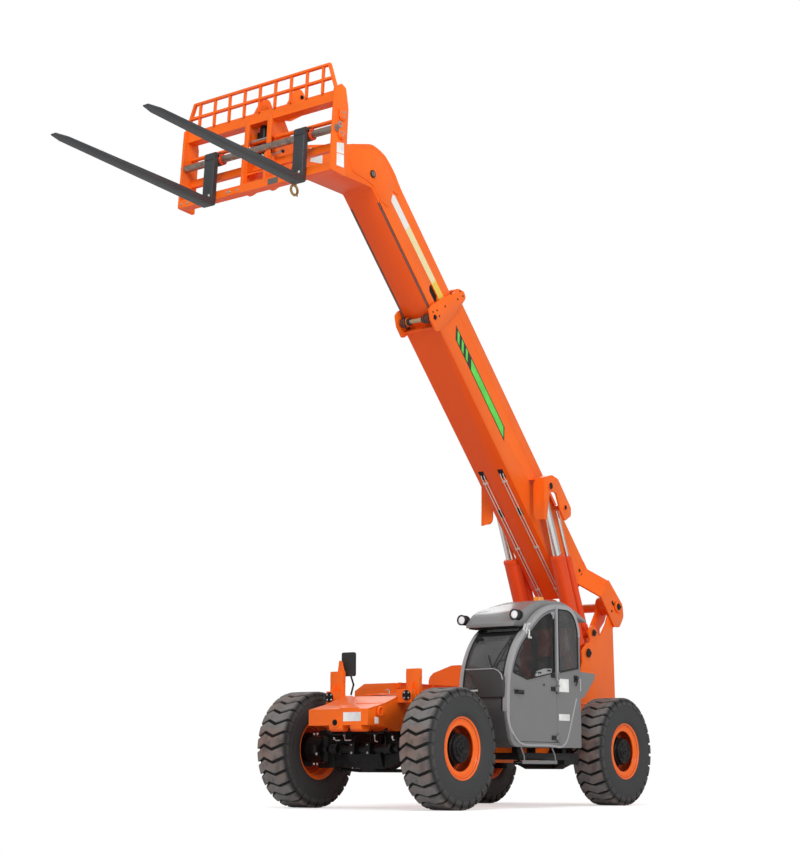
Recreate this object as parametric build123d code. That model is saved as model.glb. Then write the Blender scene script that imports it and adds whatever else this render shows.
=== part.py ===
"""Telehandler with a two-section boom, fork carriage, side cab and four steered wheels.

Millimetres throughout.  Sizes and places are written in the machine's own frame: X forward from the
rear axle, Y to the left (the cab's side), Z up from the ground.  MID_X moves the finished nodes so that
the row's origin is under the middle of the bounding box.
"""
import os
from math import acos, atan2, cos, degrees, hypot, pi, radians, sin, tan

from build123d import (Axis, Edge, Face, Location, Plane, Shell, Solid, Vector, Wire, Compound,
                       export_step, mirror)

# ---------------------------------------------------------------- running gear
WHEELBASE = 3620
TRACK_HALF = 1030            # tyre centre from the middle
TYRE_R = 675                 # to the lugs' tips
TYRE_W = 444
TREAD_W = 360
RIM_R = 353                  # flange
RIM_SEAT_R = 318             # bead seat
LUGS = 28
LUG_SHARE = 0.78             # of the pitch; the rest is groove
ZIGZAG = (                   # y from the tyre's middle, shift round the tyre in pitches
    (-TREAD_W / 2, 0.0),
    (-90, 0.4),
    (29, 0.07),
    (TREAD_W / 2, 0.4),
)
GROOVE_FLOOR_R = 640
KINGPIN_Y = 715
SPINDLE_R = 60
FIT = 0.05                   # radial clearance of a running fit
WHEELS = (                   # name, axle x, side
    ("front_left", WHEELBASE, 1),
    ("front_right", WHEELBASE, -1),
    ("rear_left", 0, 1),
    ("rear_right", 0, -1),
)

# ---------------------------------------------------------------- boom geometry
PIVOT = (-1090, 2630)        # boom pivot pin
BOOM_REST = 46.42            # degrees above level at rest
BASE_HALF_W = 251
BASE_TOP, BASE_BOTTOM = 115, -544        # across the boom, from the pivot pin
BASE_REAR, BASE_FRONT = 600, 5086        # along the boom
ROLLER = (5086, -560)                    # rollers under the fly, along and across
ROLLER_R = 60
BASE_WALL = 14
FLY_HALF_W = 222
FLY_TOP, FLY_BOTTOM = 19, -498
FLY_REAR, FLY_FRONT = 2070, 6900
FLY_WALL = 16
PAD_GAP = 0.3
PIVOT_PIN_R = 60
TILT_PIN = (5280, 7320)      # carriage hinge at the boom head
TILT_PIN_R = 45
CARRIAGE_REST = 3.5          # forks' tips up at rest, degrees

# cylinders: base pin on the tower (x, z); rod pin on the boom (along, across)
LIFT = dict(base=(-335, 1964), rod=(2192, -182), y=365, barrel_r=100, rod_r=60, barrel_len=1350,
            pin_r=50, eye_r=100, eye_w=120)
LEVEL = dict(base=(-485, 2240), rod=(1770, -90), y=365, barrel_r=54, rod_r=27, barrel_len=1070,
             pin_r=32, eye_r=62, eye_w=90)

# ---------------------------------------------------------------- tower and frame
TOWER_OUT = (470, 495)       # outer plates, y
TOWER_IN = (262, 290)        # inner plates, y
TAIL_Y = (500, 525)          # boom tail plates, outside the tower
FRAME_HALF_W = 420
AXLE_SEAT_Z = 870            # frame's underside over the axles
OUTRIGGER_Z = (560, 640)
CAB_Z = 705
FRAME_REAR = -1180
NOSE_X = WHEELBASE + 693
REAR_X = -1270               # rearmost face, the counterweight's
HITCH_X, HITCH_Z, HITCH_R = -1195, 695, 20
HITCH_EARS = (45, 71)        # y of each ear
TIE_Y, TIE_Z, TIE_R = 604, 900, 22
TIE_EAR_X = (-1180, -1150)
COUNTERWEIGHT_Y = 560

# ---------------------------------------------------------------- cab
CAB_IN_Y, CAB_OUT_Y = 530, 1205
CAB_WALL = 40
CAB_OUTLINE = [(2600, CAB_Z, 160), (2710, 1108, 600), (2672, 1592, 900), (2489, 1940, 1000),
               (1838, 2427, 1000), (1218, 2424, 300), (1045, 2194, 500), (1045, CAB_Z, 20)]
SIDE_BAND = 58               # width of the side frame's band
DOOR_HINGE = (1600, 1221)    # x, y of the hinge axis
DOOR_HINGE_Z = (820, 1400, 1560)
DOOR_GAP = 6
DOOR_BOTTOM = 748

# ---------------------------------------------------------------- hood on the right
HOOD_IN_Y, HOOD_OUT_Y = -530, -1150
HOOD_X = (1000, 2560)
HOOD_SPLIT_Z, HOOD_TOP_Z = 1290, 1485
HOOD_HINGE = (HOOD_IN_Y + 16, 1487)   # y, z

# ---------------------------------------------------------------- carriage (own frame: u forward, w up
# from the hinge pin, before the rest tilt)
CARR_HALF_W = 1138
FORK_Y = (720, -612)         # middle of each fork
FORK_W = 150
FORK_TIP_U = 2984
FORK_TIP_W = (640, 655)      # below the pin: top and bottom of the blade at its tip
SHAFT_UW = (556, -78)
SHAFT_R = 42
TUBE_UW = (462, 62)          # round tube behind the shaft
HOOK_Y = 570


# ================================================================ helpers
def corners(outline):
    """Edge list of a closed outline of (x, z) or (x, z, corner radius), as 3-D points at y = 0."""
    pts = [(p[0], p[1], p[2] if len(p) > 2 else 0) for p in outline]
    n = len(pts)
    ends = []
    for i in range(n):
        x, z, r = pts[i]
        ax, az = pts[i - 1][0] - x, pts[i - 1][1] - z
        bx, bz = pts[(i + 1) % n][0] - x, pts[(i + 1) % n][1] - z
        la, lb = hypot(ax, az), hypot(bx, bz)
        ax, az, bx, bz = ax / la, az / la, bx / lb, bz / lb
        turn = max(-1.0, min(1.0, ax * bx + az * bz))
        half = 0.5 * (pi - acos(turn))
        if r < 0.5 or half < 0.01:
            ends.append(((x, z), None, (x, z)))
            continue
        t = min(r * tan(half), 0.49 * la, 0.49 * lb)
        r = t / tan(half)
        mx, mz = ax + bx, az + bz
        lm = hypot(mx, mz)
        d = r / cos(half)
        cx, cz = x + mx / lm * d, z + mz / lm * d
        ends.append(((x + ax * t, z + az * t), (cx - mx / lm * r, cz - mz / lm * r),
                     (x + bx * t, z + bz * t)))
    return ends


def outline_face(outline, y):
    """Face in the plane y = const, bounded by an outline whose corners may be rounded."""
    ends = corners(outline)
    edges = []
    for i, (a, mid, b) in enumerate(ends):
        if mid:
            edges.append(Edge.make_three_point_arc((a[0], y, a[1]), (mid[0], y, mid[1]),
                                                   (b[0], y, b[1])))
        nxt = ends[(i + 1) % len(ends)][0]
        if hypot(nxt[0] - b[0], nxt[1] - b[1]) > 0.01:
            edges.append(Edge.make_line((b[0], y, b[1]), (nxt[0], y, nxt[1])))
    return Face(Wire(edges))


def prism(outline, y0, y1):
    """Solid between y0 and y1 with the given outline in X and Z."""
    return Solid.extrude(outline_face(outline, y0), Vector(0, y1 - y0, 0))


def inset(outline, t):
    """The outline moved inward by t; radii of its corners shrink with it."""
    pts = [(p[0], p[1], p[2] if len(p) > 2 else 0) for p in outline]
    n = len(pts)
    area = sum(pts[i][0] * pts[(i + 1) % n][1] - pts[(i + 1) % n][0] * pts[i][1] for i in range(n))
    s = 1 if area > 0 else -1
    out = []
    for i in range(n):
        x, z, r = pts[i]
        px, pz, _ = pts[i - 1]
        nx, nz, _ = pts[(i + 1) % n]
        d1 = ((x - px) / hypot(x - px, z - pz), (z - pz) / hypot(x - px, z - pz))
        d2 = ((nx - x) / hypot(nx - x, nz - z), (nz - z) / hypot(nx - x, nz - z))
        n1, n2 = (-d1[1] * s, d1[0] * s), (-d2[1] * s, d2[0] * s)
        k = 1 + n1[0] * n2[0] + n1[1] * n2[1]
        out.append((x + t * (n1[0] + n2[0]) / k, z + t * (n1[1] + n2[1]) / k, max(r - t, 0)))
    return out


def box(x0, x1, y0, y1, z0, z1):
    return Solid.make_box(x1 - x0, y1 - y0, z1 - z0, Plane((x0, y0, z0)))


def rod(start, end, r):
    """Round bar from one point to another."""
    a, b = Vector(*start), Vector(*end)
    return Solid.make_cylinder(r, (b - a).length, Plane(a, z_dir=b - a))


def slab(points, x0, x1):
    """Solid between x0 and x1 with the given outline in Y and Z."""
    face = Face(Wire.make_polygon([(x0, y, z) for y, z in points], close=True))
    return Solid.extrude(face, Vector(x1 - x0, 0, 0))


def disc(x, z, y0, y1, r):
    """Round bar along Y."""
    return rod((x, min(y0, y1), z), (x, max(y0, y1), z), r)


def turned(profile, x, z):
    """Solid turned about the Y axis through (x, z); profile is (radius, y) points."""
    face = Face(Wire.make_polygon([(r, y, 0) for r, y in profile], close=True))
    return Solid.revolve(face, 360, Axis.Y).moved(Location((x, 0, z)))


def ring(r, thick, plane, arc=360):
    """Ring of eight-sided bar round the plane's normal."""
    flat = [(r + thick * cos(radians(45 * k + 22.5)), 0, thick * sin(radians(45 * k + 22.5)))
            for k in range(8)]
    bar = Solid.revolve(Face(Wire.make_polygon(flat, close=True)), arc, Axis.Z)
    return bar.moved(Location(plane))


def fuse(*solids):
    first, rest = solids[0], solids[1:]
    return first.fuse(*rest).clean() if rest else first


def boom_at(a, p):
    """Machine x, z of a point given along and across the boom at rest."""
    t = radians(BOOM_REST)
    return PIVOT[0] + a * cos(t) - p * sin(t), PIVOT[1] + a * sin(t) + p * cos(t)


def on_boom(x, z):
    """Along and across the boom at rest of a point given as machine x, z."""
    t = radians(BOOM_REST)
    dx, dz = x - PIVOT[0], z - PIVOT[1]
    return dx * cos(t) + dz * sin(t), -dx * sin(t) + dz * cos(t)


BOOM_PLACE = Location((PIVOT[0], 0, PIVOT[1]), (0, -BOOM_REST, 0))
CARRIAGE_PLACE = Location((TILT_PIN[0], 0, TILT_PIN[1]), (0, -CARRIAGE_REST, 0))


def fork_tip_x():
    t = radians(CARRIAGE_REST)
    return TILT_PIN[0] + FORK_TIP_U * cos(t) + FORK_TIP_W[1] * sin(t)


MID_X = (REAR_X + fork_tip_x()) / 2


# ================================================================ wheels, knuckles, axles
def tyre():
    """Tyre with zigzag bars at the origin, all in flat facets: one pitch repeated round the axle."""
    pitch = 2 * pi / LUGS
    flat = 1 / cos(pitch / 2)            # so that the bead's flats just clear the rim's round seat

    def at(r, y, turn):
        return Vector(r * cos(turn * pitch), y, r * sin(turn * pitch))

    faces = []

    def facet(k, *points):
        faces.append(Face(Wire.make_polygon([at(r, y, turn + k) for r, y, turn in points], close=True)))

    def strip(k, a, b):
        """Two triangles between a pair of points on one ring and a pair on the next."""
        facet(k, a[0], a[1], b[1])
        facet(k, a[0], b[1], b[0])

    bead = (RIM_SEAT_R + 0.02) * flat
    low, w = RIM_R + 12, TYRE_W / 2
    floors = [(GROOVE_FLOOR_R - 10 * (i in (0, 3)), y * (0.97 if i in (0, 3) else 1), shift)
              for i, (y, shift) in enumerate(ZIGZAG)]
    for k in range(LUGS):
        facet(k, (bead, -169, 0), (bead, 169, 0), (bead, 169, 1), (bead, -169, 1))
        for side, (_, shift) in ((-1, ZIGZAG[0]), (1, ZIGZAG[-1])):
            facet(k, (bead, side * 169, 0), (low * flat, side * 200, 0), (low * flat, side * 200, 1),
                  (bead, side * 169, 1))
            facet(k, (low * flat, side * 200, 0), (RIM_R + 77, side * w, 0), (RIM_R + 77, side * w, 1),
                  (low * flat, side * 200, 1))
            start, end = (TYRE_R - 90, side * w, shift), (TYRE_R - 90, side * w, shift + LUG_SHARE)
            after = (TYRE_R - 90, side * w, shift + 1)
            facet(k, (RIM_R + 77, side * w, 0), (RIM_R + 77, side * w, 1), end)
            facet(k, (RIM_R + 77, side * w, 0), end, start)
            facet(k, (RIM_R + 77, side * w, 1), after, end)
            y = side * TREAD_W / 2
            floor_r, floor_y, _ = floors[0] if side < 0 else floors[-1]
            strip(k, (start, end), ((TYRE_R, y, shift), (TYRE_R, y, shift + LUG_SHARE)))
            strip(k, (end, after), ((floor_r, floor_y, shift + LUG_SHARE), (floor_r, floor_y, shift + 1)))
            for turn, foot in ((shift + LUG_SHARE, end), (shift + 1, after)):
                facet(k, foot, (TYRE_R, y, turn), (floor_r, floor_y, turn))
        for i in range(3):
            (y0, s0), (y1, s1) = ZIGZAG[i:i + 2]
            (fr0, fy0, _), (fr1, fy1, _) = floors[i:i + 2]
            strip(k, ((TYRE_R, y0, s0), (TYRE_R, y0, s0 + LUG_SHARE)),
                  ((TYRE_R, y1, s1), (TYRE_R, y1, s1 + LUG_SHARE)))
            strip(k, ((fr0, fy0, s0 + LUG_SHARE), (fr0, fy0, s0 + 1)),
                  ((fr1, fy1, s1 + LUG_SHARE), (fr1, fy1, s1 + 1)))
            for turn in (LUG_SHARE, 1):
                strip(k, ((TYRE_R, y0, s0 + turn), (fr0, fy0, s0 + turn)),
                      ((TYRE_R, y1, s1 + turn), (fr1, fy1, s1 + turn)))
    return Solid(Shell(faces))


def rim(x, side):
    """Barrel with flanges, dished disc and hub, turned as one piece."""
    c = TRACK_HALF
    profile = [(RIM_R, c - 193), (RIM_SEAT_R, c - 169), (RIM_SEAT_R, c + 169), (RIM_R, c + 193),
               (RIM_R - 12, c + 193), (RIM_SEAT_R - 16, c + 160), (RIM_SEAT_R - 50, c + 30),
               (165, c + 5), (165, c + 110), (0, c + 150), (0, c + 110), (SPINDLE_R + FIT, c + 110),
               (SPINDLE_R + FIT, c - 40), (RIM_SEAT_R - 60, c - 40), (RIM_SEAT_R - 16, c - 160),
               (RIM_R - 12, c - 193)]
    body = turned(profile, x, TYRE_R)
    return body if side > 0 else mirror(body, about=Plane.XZ)


def knuckle(x, side):
    y = KINGPIN_Y
    body = fuse(
        rod((x, y, TYRE_R - 150), (x, y, TYRE_R + 150), 85),
        disc(x, TYRE_R, y, TRACK_HALF - 60, 150),
        disc(x, TYRE_R, y, TRACK_HALF + 100, SPINDLE_R),
        box(x, x + 230, y - 30, y + 30, TYRE_R - 25, TYRE_R + 25),
        rod((x + 225, y, TYRE_R - 45), (x + 225, y, TYRE_R + 45), 42),
    )
    bore = rod((x, y, TYRE_R - 160), (x, y, TYRE_R + 160), 35 + FIT)
    body = body.cut(bore)
    return body if side > 0 else mirror(body, about=Plane.XZ)


def axle(x):
    """Beam with a belly, yokes round the knuckles and the steering cylinder."""
    z = TYRE_R
    belly = [(x - 230, z, 60), (x - 150, z - 225, 90), (x + 150, z - 225, 90), (x + 230, z, 60),
             (x + 150, z + 170, 60), (x - 150, z + 170, 60)]
    bow = [(-480, z + 90), (-480, z - 105), (-230, z - 215), (230, z - 215), (480, z - 105), (480, z + 90)]
    parts = [prism(belly, -230, 230), slab(bow, x - 125, x + 125),
             rod((x, -KINGPIN_Y + 130, z), (x, KINGPIN_Y - 130, z), 120),
             box(x - 110, x + 110, -400, 400, z - 60, AXLE_SEAT_Z)]
    for s in (1, -1):
        y = s * KINGPIN_Y
        lo, hi = sorted((y - s * 180, y + s * 62))
        for dz in (1, -1):
            z0, z1 = sorted((z + dz * 155, z + dz * 215))
            parts.append(box(x - 80, x + 80, lo, hi, z0, z1))
        lo, hi = sorted((y - s * 190, y - s * 110))
        parts.append(box(x - 95, x + 95, lo, hi, z - 215, z + 215))
        parts.append(rod((x, y, z - 200), (x, y, z + 200), 35))
    parts.append(rod((x + 225, -430, z), (x + 225, 430, z), 45))
    parts.append(rod((x + 225, -560, z), (x + 225, 560, z), 20))
    for s in (1, -1):
        parts.append(box(x + 90, x + 250, s * 330 - 20, s * 330 + 20, z - 60, z + 60))
    return fuse(*parts)


# ================================================================ chassis
def chassis_frame():
    """Box frame arched over both axles, with the nose's lobes and loop, the lamp wings and the posts."""
    w, nose, half = WHEELBASE, NOSE_X, FRAME_HALF_W
    top = [(nose, 1110), (nose - 317, 1178), (nose - 612, 1275), (w - 320, 1290)]
    side = [(FRAME_REAR, 1290), (FRAME_REAR, 760), (-620, 640), (-480, AXLE_SEAT_Z), (430, AXLE_SEAT_Z),
            (640, 530), (w - 740, 530), (w - 440, AXLE_SEAT_Z), (w + 180, AXLE_SEAT_Z), (w + 430, 930),
            (nose, 930)]
    parts = [prism(side + top, -half, half)]
    for s in (1, -1):
        for x0, x1, y0, y1, z0, z1 in ((nose - 623, nose - 553, 400, 625, 1190, 1340),      # lamp wing
                                       (nose - 713, nose - 658, 465, 650, 1250, 1575),      # post
                                       (nose - 713, nose - 613, 400, 640, 1190, 1290)):     # its foot
            parts.append(box(x0, x1, *sorted((s * y0, s * y1)), z0, z1))
        parts.append(rod((nose - 560, s * 563, 1270), (nose - 538, s * 563, 1270), 62))     # bolted cap
    # finger above the right-hand post, and the flat stay that runs from its foot to the nose's edge
    parts.append(slab([(-555, 1570), (-465, 1570), (-505, 1700), (-535, 1700)], nose - 700, nose - 676))
    stay = _between(Wire.make_polygon([(nose, 21, 0), (nose, 307, 0), (nose - 600, -270, 0),
                                       (nose - 600, -419, 0), (nose - 560, -419, 0)], close=True), 1000, 1400)
    parts.append(_clip(prism(side + [(x, z + 14) for x, z in top], -half, half), stay))
    # lobes under the front edge: the pin's and the smaller one beside it
    for y0, y1, x0, bottom in ((-125, 65, 113, 862), (177, 333, 150, 860)):
        parts.append(prism([(nose - x0, 1000), (nose - x0, bottom, 45), (nose - 0.5, bottom, 45),
                            (nose - 0.5, 1000)], y0, y1))
    parts.append(rod((nose - 20, -30, 961), (nose + 14, -30, 961), 52))
    # towing loop on the left side of the nose
    parts.append(ring(46, 13, Plane((nose - 203, half + 28, 1082), z_dir=(0, 1, 0))))
    parts.append(box(nose - 262, nose - 225, half - 5, half + 42, 1060, 1104))
    return fuse(*parts)


def counterweight():
    """Rear weight round the frame's end, with the towing ears below and a tie-down ear on each side."""
    w = COUNTERWEIGHT_Y
    parts = [prism([(REAR_X, 760), (-930, 760, 20), (-930, 1290, 20), (-1190, 1290, 60),
                    (REAR_X, 1100, 60)], -w, w)]
    for s in (1, -1):
        ear = [(HITCH_X - 50, 775), (HITCH_X - 50, HITCH_Z - 45, 40), (HITCH_X + 50, HITCH_Z - 45, 40),
               (HITCH_X + 50, 775)]
        parts.append(prism(ear, *sorted(s * y for y in HITCH_EARS)))
        parts.append(box(*TIE_EAR_X, *sorted((s * (w - 10), s * (TIE_Y + 46))), TIE_Z - 60, TIE_Z + 60))
    whole = fuse(*parts)
    whole = whole.cut(disc(HITCH_X, HITCH_Z, -100, 100, HITCH_R))
    for s in (1, -1):
        whole = whole.cut(rod((TIE_EAR_X[0] - 20, s * TIE_Y, TIE_Z), (TIE_EAR_X[1] + 20, s * TIE_Y, TIE_Z),
                              TIE_R))
    return whole


def outriggers():
    """Two beams across under the cab and the hood with the cab's mounts, joined by a sill that carries
    the step's tray and the battery box."""
    low, high = OUTRIGGER_Z
    parts = [box(1250, 2370, 1080, 1150, low, high),
             box(960, 1300, 740, 1110, 505, high),                       # battery box
             box(1660, 2410, 1100, 1225, 510, 522),                      # step
             box(1660, 2410, 1212, 1225, 510, 548), box(1660, 2410, 1100, 1113, 510, 548)]
    for x0 in (1250, 2250):
        parts.append(box(x0, x0 + 120, -1100, 1150, low, high))
        parts += [box(x0 + 20, x0 + 100, y, y + 80, high - 5, CAB_Z) for y in (600, 1040)]
    parts += [box(x0, x0 + 45, 1112, 1124, 515, low + 20) for x0 in (1680, 2300)]
    return [fuse(*parts)]


def tower():
    px, pz = PIVOT
    lx, lz = LIFT["base"]
    cx, cz = LEVEL["base"]
    parts = []
    outer = [(-1040, 1100), (-1012, 2330), (-1140, 2440, 40), (-1230, 2600, 60), (-1200, 2740, 90),
             (-1090, 2790, 90), (-960, 2740, 100), (-930, 2560, 80), (-830, 2380, 60), (-640, 2165, 60),
             (-575, 2300, 80), (-490, 2345, 70), (-390, 2300, 70), (-380, 2200, 60), (-430, 2110, 40),
             (-330, 2095, 90), (-205, 2000, 90), (-215, 1850, 90), (-120, 1500, 80), (150, 1290),
             (150, 1100)]
    inner = [(-1000, 1100), (-1012, 2330), (-1140, 2440, 40), (-1230, 2600, 60), (-1200, 2740, 90),
             (-1090, 2790, 90), (-960, 2740, 100), (-930, 2560, 80), (-800, 2380, 60), (-640, 2165, 60),
             (-560, 2300, 60), (-485, 2322, 70), (-410, 2290, 60), (-405, 2200, 60), (-450, 2110, 40),
             (-400, 2060, 60), (-335, 2075, 90), (-230, 2000, 90), (-230, 1880, 90), (-120, 1500, 80),
             (150, 1290), (150, 1100)]
    for s in (1, -1):
        for outline, (y0, y1) in ((outer, TOWER_OUT), (inner, TOWER_IN)):
            parts.append(prism(outline, *sorted((s * y0, s * y1))))
        for (x, z), cyl in (((lx, lz), LIFT), ((cx, cz), LEVEL)):
            w = cyl["eye_w"] / 2
            parts.append(disc(x, z, s * (cyl["y"] + w + 5), s * (TOWER_OUT[0] + 5), cyl["pin_r"] + 15))
            if cyl["y"] - w - 5 > TOWER_IN[1]:
                parts.append(disc(x, z, s * (TOWER_IN[1] - 5), s * (cyl["y"] - w - 5), cyl["pin_r"] + 15))
            parts.append(disc(x, z, s * (TOWER_IN[0] + 1), s * (TOWER_OUT[1] + 14), cyl["pin_r"]))
        # boss between the plates at the pivot
        parts.append(disc(px, pz, s * (TOWER_IN[0] + 2), s * (TOWER_OUT[1] - 2), 110))
    parts.append(disc(px, pz, -TAIL_Y[1] - 22, TAIL_Y[1] + 22, PIVOT_PIN_R))
    for s in (1, -1):
        parts.append(disc(px, pz, s * (TAIL_Y[1] + 5), s * (TAIL_Y[1] + 23), 78))
    # cross box
    cross = [(-1005, 1100), (-985, 2050), (-700, 1990), (-420, 1800), (-160, 1500), (120, 1290), (120, 1100)]
    parts.append(prism(cross, -480, 480))
    return fuse(*parts)


# ================================================================ boom
def base_section():
    r, f = BASE_REAR, BASE_FRONT
    w, t = BASE_HALF_W, BASE_WALL
    tube = prism([(r, BASE_BOTTOM, 30), (f, BASE_BOTTOM, 0), (f, BASE_TOP, 0), (r, BASE_TOP, 30)], -w, w)
    hollow = prism([(r - 50, BASE_BOTTOM + t), (f + 50, BASE_BOTTOM + t), (f + 50, BASE_TOP - t),
                    (r - 50, BASE_TOP - t)], -w + t, w - t)
    tube = tube.cut(hollow).cut(box(f - 116, f + 50, -w + t, w - t, BASE_BOTTOM - 5, BASE_BOTTOM + t + 5))
    parts = [tube]
    # wear pads at the front, just clear of the fly
    for a1, p0, p1 in ((f - 122, BASE_BOTTOM + 10, FLY_BOTTOM - PAD_GAP),
                       (f - 30, FLY_TOP + PAD_GAP, BASE_TOP - 10)):
        parts.append(box(f - 300, a1, -180, 180, p0, p1))
    for s in (1, -1):
        lo, hi = sorted((s * (FLY_HALF_W + PAD_GAP), s * (w - 8)))
        for p0, p1 in ((FLY_BOTTOM + 40, FLY_BOTTOM + 120), (FLY_TOP - 120, FLY_TOP - 40)):
            parts.append(box(f - 260, f - 30, lo, hi, p0, p1))
    y0, y1 = TAIL_Y
    tail = [(402, 86, 10), (350, -237, 40), (-146, -250, 80), (-239, -150, 80), (-209, 38, 90), (-77, 136, 90)]
    for s in (1, -1):
        # outer tail plate round the pivot
        plate = prism(tail, *sorted((s * y0, s * y1)))
        hole = disc(0, 0, s * (y0 - 5), s * (y1 + 5), PIVOT_PIN_R + FIT)
        parts.append(plate.cut(hole))
        # bevelled panel from the tube's side to the outer plate, with the web behind it
        bevel = Wire.make_polygon([(340, s * y1, 0), (375, s * y1, 0), (640, s * (w - 4), 0),
                                   (605, s * (w - 4), 0)], close=True)
        parts.append(_between(bevel, -237, 86))
        # short side plate that the bevel lands on
        parts.append(box(560, 720, *sorted((s * (w - 10), s * (w + 6))), -237, BASE_TOP - 2))
        # cylinder bracket
        parts += lift_bracket(s)
        # collar: the ear that carries the rollers, slanting up to a lobe above the boom's top
        ear = [(f - 201, -400), (f - 175, -610, 30), (f - 150, -651, 30), (f + 10, -645, 40), (f + 133, -575, 40),
               (f + 140, -490, 30), (f + 75, -200), (f, 61), (f - 6, 150, 40), (f - 100, 232, 45),
               (f - 185, 215, 45), (f - 205, 30)]
        parts.append(prism(ear, *sorted((s * (w - 4), s * (w + 22)))))
        a, p = ROLLER
        parts.append(disc(a, p, s * 130, s * 214, ROLLER_R - 2))
        parts.append(disc(a, p, s * 115, s * 135, 34))
        parts.append(disc(a, p, s * 240, s * (w + 30), 30))
    parts.append(box(f - 60, f, -w - 20, w + 20, BASE_TOP - 20, BASE_TOP + 22))
    parts.append(disc(*ROLLER, -w, w, 24))
    # the bottom stops behind the rollers, behind a lip
    parts.append(box(f - 150, f - 116, -w - 10, w + 10, BASE_BOTTOM - 40, BASE_BOTTOM + 6))
    return fuse(*parts).moved(BOOM_PLACE)


def _between(wire, z0, z1):
    """Extrude a wire drawn at z = 0 so that it spans z0 to z1."""
    return Solid.extrude(Face(wire).moved(Location((0, 0, z0))), Vector(0, 0, z1 - z0))


def lift_bracket(s):
    """Hooded bracket on the boom's side that takes both rods' pins, in the boom's frame."""
    w = BASE_HALF_W
    pts = [(673, 4195, 40), (499, 4245, 60), (351, 4212, 60), (34, 3863, 60), (38, 3755, 40), (192, 3670, 30),
           (300, 3800, 60), (406, 4031, 60), (560, 4010, 60), (640, 3640, 10), (690, 3630, 10)]
    outline = [(*on_boom(x, z), r) for x, z, r in pts]
    y0, y1 = 475, 500
    parts = [prism(outline, *sorted((s * y0, s * y1)))]
    # front plate, rounded towards the boom, and the top that ties it to the boom's side
    front = slab([(s * y, z) for y, z in ((y1 - 2, 3640), (370, 3645), (335, 3675), (322, 3730), (322, 4110),
                                          (345, 4165), (395, 4190), (y1 - 2, 4190))], 666, 684)
    parts.append(front.moved(BOOM_PLACE.inverse()))
    over = [(*on_boom(x, z), 0) for x, z in ((684, 4188), (673, 4195), (499, 4245), (499, 4221), (664, 4173),
                                            (684, 4173))]
    parts.append(prism(over, *sorted((s * (w - 6), s * (y1 - 2)))))
    # roof flanges, open between them for the rods' eyes
    roof = [(673, 4195), (499, 4245), (351, 4212), (34, 3863), (50, 3850), (358, 4190), (499, 4222),
            (668, 4175)]
    roof = [(*on_boom(x, z), 0) for x, z in roof]
    parts.append(prism(roof, *sorted((s * 440, s * (y1 - 2)))))
    parts.append(prism(roof, *sorted((s * (w - 6), s * 285))))
    for cyl, r in ((LIFT, 52), (LEVEL, 36)):
        a, p = cyl["rod"]
        parts.append(disc(a, p, s * (y0 + 2), s * (y1 + 16), r))
    return parts


SLOT = [(5163, -354, 12), (5353, -354, 12), (5398, -312, 12), (5398, -252, 12), (5215, -252, 12),
        (5163, -298, 12)]        # window in the fly's sides, along and across


def fly_section():
    top = [(*on_boom(x, z), r) for x, z, r in
           ((3465, 7430, 40), (3567, 7580, 120), (3770, 7755, 160), (4028, 7823, 120), (4489, 7698, 120),
            (5250, 7460, 60))]
    nose = [(*on_boom(x, z), r) for x, z, r in ((5425, 7420, 110), (5400, 7200, 110), (5120, 7200, 60))]
    under = [(*on_boom(x, z), r) for x, z, r in ((4764, 7285, 60),)]
    outline = ([(FLY_REAR, FLY_TOP, 0)] + top + nose + under
               + [(FLY_FRONT, FLY_BOTTOM, 60), (FLY_REAR, FLY_BOTTOM, 0)])
    outline[1] = (6600, FLY_TOP, 40)
    w, t = FLY_HALF_W, FLY_WALL
    body = prism(outline, -w, w)
    hollow = inset(outline, t)
    hollow[0] = (FLY_REAR - 50, FLY_TOP - t, 0)
    hollow[-1] = (FLY_REAR - 50, FLY_BOTTOM + t, 0)
    body = body.cut(prism(hollow, -w + t + 4, w - t - 4))
    # the mouth that the carriage's lugs turn in
    mouth = [on_boom(x, z) for x, z in ((5080, 7800), (5600, 7800), (5600, 7000), (5080, 7000))]
    body = body.cut(prism(mouth, -w + 20, w - 20))
    body = body.cut(prism(SLOT, -w - 5, w + 5))
    doubler = [(*on_boom(x, z), r) for x, z, r in
               ((3580, 7470, 30), (3690, 7110, 60), (3860, 7165, 80), (4000, 7310, 80), (4174, 7355, 60),
                (4420, 7380, 90), (4475, 7560, 90), (4330, 7690, 60), (4035, 7770, 110), (3800, 7715, 140))]
    for s in (1, -1):
        body = body.fuse(prism(doubler, *sorted((s * (w - 2), s * (w + 9)))))
        a, p = on_boom(*TILT_PIN)
        body = body.fuse(disc(a, p, s * (w - 20), s * (w + 10), 95))
        body = body.cut(disc(a, p, s * (w - 40), s * (w + 40), TILT_PIN_R + FIT))
        a, p = on_boom(4005, 7463)
        body = body.fuse(disc(a, p, s * (w - 4), s * (w + 17), 52))
    return body.clean().moved(BOOM_PLACE)


# ================================================================ cylinders
def cylinder_line(cyl):
    """Base pin, rod pin (x, z at rest), distance between them and the direction in degrees."""
    bx, bz = cyl["base"]
    rx, rz = boom_at(*cyl["rod"])
    return (bx, bz), (rx, rz), hypot(rx - bx, rz - bz), degrees(atan2(rz - bz, rx - bx))


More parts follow.
